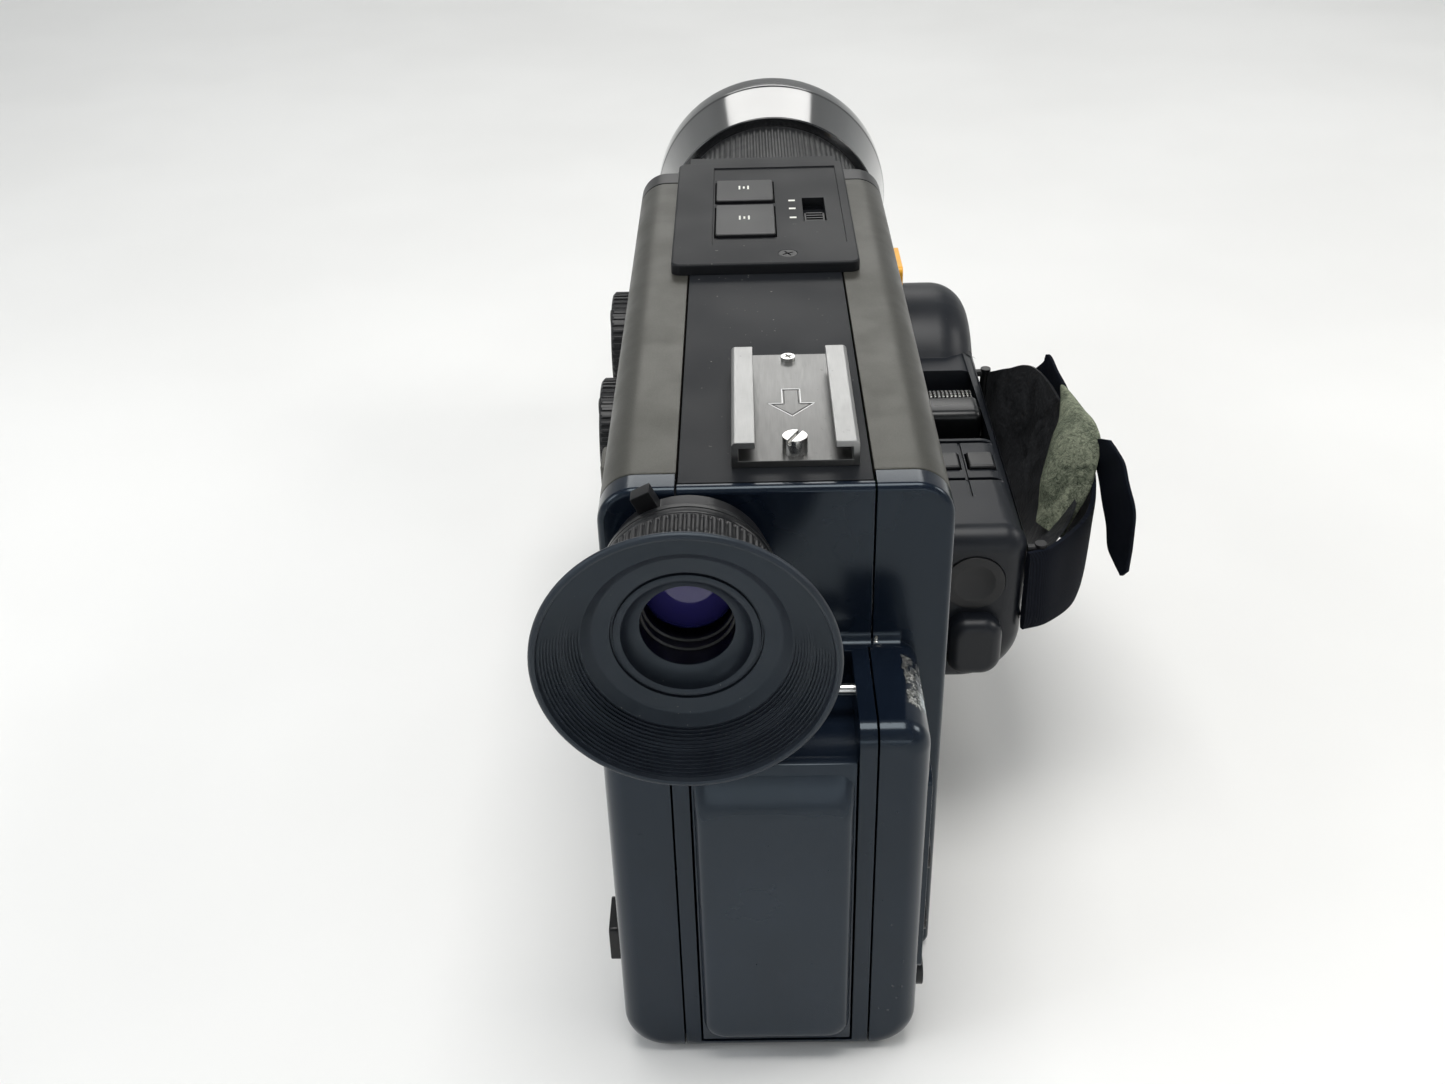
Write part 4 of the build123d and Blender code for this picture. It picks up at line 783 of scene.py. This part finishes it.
# ---- Marks ----------------------------------------------------------------------------
BUTTON_TOP = 108.55
PANEL_TOP = 107.85
INK = 0.05                          # how far the print stands up
BUTTON_MARKS = (("wide", -4.2, 72.0), ("tele", -4.2, 52.7))
MODE_MARKS_X = (5.9, 7.4)
MODE_MARKS_Y = (64.7, 59.6, 54.0)
ARROW_X = 3.4                       # X of the shoe's middle line
ARROW = ((-1.6, -27.8), (1.6, -27.8), (1.6, -33.2), (4.05, -33.2), (0.0, -38.0),
         (-4.05, -33.2), (-1.6, -33.2))
ARROW_Z = (106.9, 107.02)
LINE_HALF = 0.1


def make_marks():
    """The generic white pictograms on and beside the panel's buttons."""
    for button, x, y in BUTTON_MARKS:
        for n, (shift, tall) in enumerate(((-1.0, 1.15), (0.0, 0.7), (1.0, 1.15))):
            slab(f"{button}_mark_{n}", (x + shift - 0.2, x + shift + 0.2), (y - tall, y + tall),
                 (BUTTON_TOP, BUTTON_TOP + INK), "white_mark", button + "_button", 0.02)
    for n, y in enumerate(MODE_MARKS_Y):
        slab(f"mode_mark_{n}", MODE_MARKS_X, (y - 0.45, y + 0.45), (PANEL_TOP, PANEL_TOP + INK),
             "white_mark", "camera_body", 0.02)


def make_arrow():
    """The lines of the arrow engraved in the accessory shoe."""
    bm = bmesh.new()
    for (ax, ay), (bx, by) in zip(ARROW, ARROW[1:] + ARROW[:1]):
        start, end = Vector((ax + ARROW_X, ay, 0)), Vector((bx + ARROW_X, by, 0))
        side = (end - start).normalized().cross(Vector((0, 0, 1))) * LINE_HALF
        rim = [start + side, end + side, end - side, start - side]
        low, high = ([bm.verts.new((point + Vector((0, 0, z))) * MM) for point in rim] for z in ARROW_Z)
        bm.faces.new(low[::-1])
        bm.faces.new(high)
        for n in range(4):
            after = (n + 1) % 4
            bm.faces.new((low[n], low[after], high[after], high[n]))
    add_piece("shoe_arrow", bm, "engraving", "camera_body")


# ---- Hand strap -----------------------------------------------------------------------
def make_strap():
    """The webbing band, its lining, the loop patch folded over it, the tail's end and the loose
    flap. Each runs from front to rear, low rail first; its flat size is in metres."""
    band = ribbon("strap_webbing_band",
                  [(53.4, 59.4, 51.6), (59.4, 51, 47), (64.8, 37, 44.5), (67, 20, 44.2),
                   (66.4, 4, 45), (62.5, -9.5, 46.5), (55.2, -18.8, 48.6), (49.8, -21.6, 49)],
                  [(53.4, 59.2, 65.4), (59.6, 50.5, 70.5), (64.6, 41, 74.5), (67, 27, 73.5),
                   (67.4, 12, 72), (67, 1, 70.5), (63.6, -8.5, 67.5), (55.4, -18.4, 67),
                   (49.8, -21.4, 67)],
                  1.5, "webbing", seed=1)
    lining = ribbon("strap_lining_band",
                    [(52.9, 55.6, 50), (53.6, 48, 49), (54.6, 36, 48.5), (55, 24, 49),
                     (54.6, 10, 50.5), (53.6, 0, 51.5), (52.4, -10, 52.5), (51.0, -17.0, 53.5)],
                    [(53.2, 55.4, 68), (56.5, 50, 71.5), (61, 43, 75), (64.2, 26, 74),
                     (64.6, 6, 71), (61, -6, 65.5), (54.4, -14.6, 62.5), (51.2, -16.6, 62)],
                    1.3, "leather", ripple=0.35, seed=2)
    patch = ribbon("strap_loop_patch",
                   [(64.6, 29, 75.2), (62.8, 21, 75.1), (60.2, 13, 74.0), (57.5, 6.5, 68.4),
                    (55.8, 1.0, 60.4)],
                   [(66.2, 29, 76.0), (67.5, 18, 76.9), (68.4, 7, 76.7), (65.6, -1, 70.4),
                    (59.8, -5.5, 60.0)],
                   1.5, "fleece", ripple=0.3, seed=3, bow=1.5)
    end = ribbon("strap_end",
                 [(60.8, 45.5, 71), (62.6, 41.5, 68.5), (64, 36, 68), (65.2, 28, 69.5), (65.4, 22, 71)],
                 [(61, 45, 73.2), (63.2, 43.2, 76.4), (63.9, 42.8, 78.3), (65, 37, 77), (66, 29, 75.8),
                  (66.2, 22, 75)],
                 1.2, "webbing", ripple=0.15, seed=5)
    flap = ribbon("strap_flap",
                  [(67.4, 9, 75.4), (68.4, -1, 66), (69.2, -9, 59.5), (70.4, -14.6, 56.6)],
                  [(69.2, 2, 78.6), (70.4, -6, 77.4), (71.3, -14.5, 71), (71.4, -15.6, 58.2)],
                  1.2, "webbing", ripple=0.2, seed=4)
    for piece, flat, rests in ((band, (0.030, 0.091), ["strap_anchors_finish"]),
                               (lining, (0.028, 0.075), ["strap_anchors_finish"]),
                               (patch, (0.0115, 0.040), ["strap_lining_band"]),
                               (end, (0.011, 0.0244), ["strap_webbing_band"]),
                               (flap, (0.0139, 0.0297), ["strap_webbing_band"])):
        stand_in("hand_strap")


# ---- Inner parts ----------------------------------------------------------------------
BLACK_SCREW_Y, BLACK_SCREW_Z = 0.02, 0.1    # metres: the control panel's screw is past both


def finish_inner_parts():
    """Materials for the CAD nodes that stay as they are; the control panel's screw is black."""
    for node, material in (("strap_bar", "polished"), ("battery_magazine", "control"),
                           ("battery_cells", "cell"), ("rear_lens_group", "front_glass"),
                           ("film_window", "window"), ("film_cartridge", "film_plastic"),
                           ("chassis", "anodised"), ("film_gate", "anodised"),
                           ("claw_arm", "polished"), ("shutter_disc", "matt_black"),
                           ("drive_gear", "brass"), ("motor_pinion", "brass"),
                           ("motor", "anodised"), ("takeup_spindle", "control"),
                           ("circuit_board", "board"), ("case_screws", "polished"),
                           ("grip_pivot", "anodised")):
        piece = NODES[node]
        shade(piece.data, SMOOTH_BEND)
        paint(piece, material)
    screws = NODES["case_screws"].data
    screws.materials.append(MATERIALS["control"].mat)
    for face in screws.polygons:
        if face.center.y > BLACK_SCREW_Y and face.center.z > BLACK_SCREW_Z:
            face.material_index = 1


# ---- Set ------------------------------------------------------------------------------
SWEEP_CENTRE_Y = 0.05               # metres, as all of this section
FLAT_RADII = (0.3, 0.75)
SWEEP_RADIUS = 0.8
SWEEP_TOP = 1.6
SWEEP_STEPS = 72
# name, place, aim, size, power in watts, colour
LIGHTS = (("overhead", (0.0, -0.04, 0.86), (0, 0.02, 0.05), (0.55, 0.45), 5.5, (1, 0.99, 0.97)),
          ("side", (-0.8, -0.25, 0.55), (0, 0, 0.06), (0.4, 0.4), 2.2, (0.93, 0.96, 1)),
          ("other_side", (0.85, 0.1, 0.6), (0, 0, 0.06), (0.3, 0.3), 2.3, (1, 0.98, 0.95)),
          ("window", (0.0, 1.05, 0.66), (0, 0.16, 0.1), (0.72, 0.24), 1.9, (1, 0.99, 0.97)),
          ("low_fill", (0.05, -1.0, 0.22), (0, -0.09, 0.06), (1.1, 0.2), 1.0, (0.9, 0.95, 1)))
SKY = (0.84, 0.92, 1.0, 1)
SKY_STRENGTH = 0.3


def make_floor():
    """A pale floor that sweeps up all round."""
    bend = FLAT_RADII[-1]
    path = [(radius, 0.0) for radius in FLAT_RADII]
    path += [(bend + SWEEP_RADIUS * math.sin(math.radians(a)),
              SWEEP_RADIUS - SWEEP_RADIUS * math.cos(math.radians(a))) for a in range(6, 91, 6)]
    path.append((bend + SWEEP_RADIUS, SWEEP_TOP))
    bm = bmesh.new()
    rows = []
    for radius, height in path:
        turns = [2 * math.pi * n / SWEEP_STEPS for n in range(SWEEP_STEPS)]
        rows.append([bm.verts.new((radius * math.cos(a), SWEEP_CENTRE_Y + radius * math.sin(a), height))
                     for a in turns])
    bm.faces.new(rows[0])
    for near, far in zip(rows, rows[1:]):
        for n in range(SWEEP_STEPS):
            after = (n + 1) % SWEEP_STEPS
            bm.faces.new((near[n], far[n], far[after], near[after]))
    bmesh.ops.recalc_face_normals(bm, faces=bm.faces)
    mesh = bpy.data.meshes.new("sweep")
    bm.to_mesh(mesh)
    bm.free()
    for face in mesh.polygons:
        face.use_smooth = True
    floor = bpy.data.objects.new("floor", mesh)
    bpy.context.collection.objects.link(floor)
    s = Shader("floor_paper", (0.82, 0.815, 0.8), 0.6, specular=0.2)
    s.color(s.mix(s.ramp(s.noise(0.2, detail=3), 0.3, 0.7), (0.8, 0.795, 0.78), (0.85, 0.845, 0.83)))
    s.bump(s.noise(0.002, detail=2), 0.00002)
    floor.data.materials.append(s.mat)


def make_lights():
    """Soft area lights and a pale world."""
    for name, place, aim, size, power, color in LIGHTS:
        light = bpy.data.lights.new(name, "AREA")
        light.shape = "RECTANGLE"
        light.size, light.size_y = size
        light.energy = power
        light.color = color
        lamp = bpy.data.objects.new(name, light)
        bpy.context.collection.objects.link(lamp)
        lamp.location = place
        lamp.rotation_euler = (Vector(aim) - Vector(place)).to_track_quat("-Z", "Y").to_euler()
    world = bpy.data.worlds.new("world")
    world.use_nodes = True
    sky = world.node_tree.nodes["Background"]
    sky.inputs["Color"].default_value = SKY
    sky.inputs["Strength"].default_value = SKY_STRENGTH
    bpy.context.scene.world = world
    bpy.context.scene.view_settings.view_transform = "Standard"


make_casing()
make_battery_door()
make_eyepiece()
make_lens()
make_rocker()
make_marks()
make_arrow()
make_strap()
finish_inner_parts()
make_floor()
make_lights()
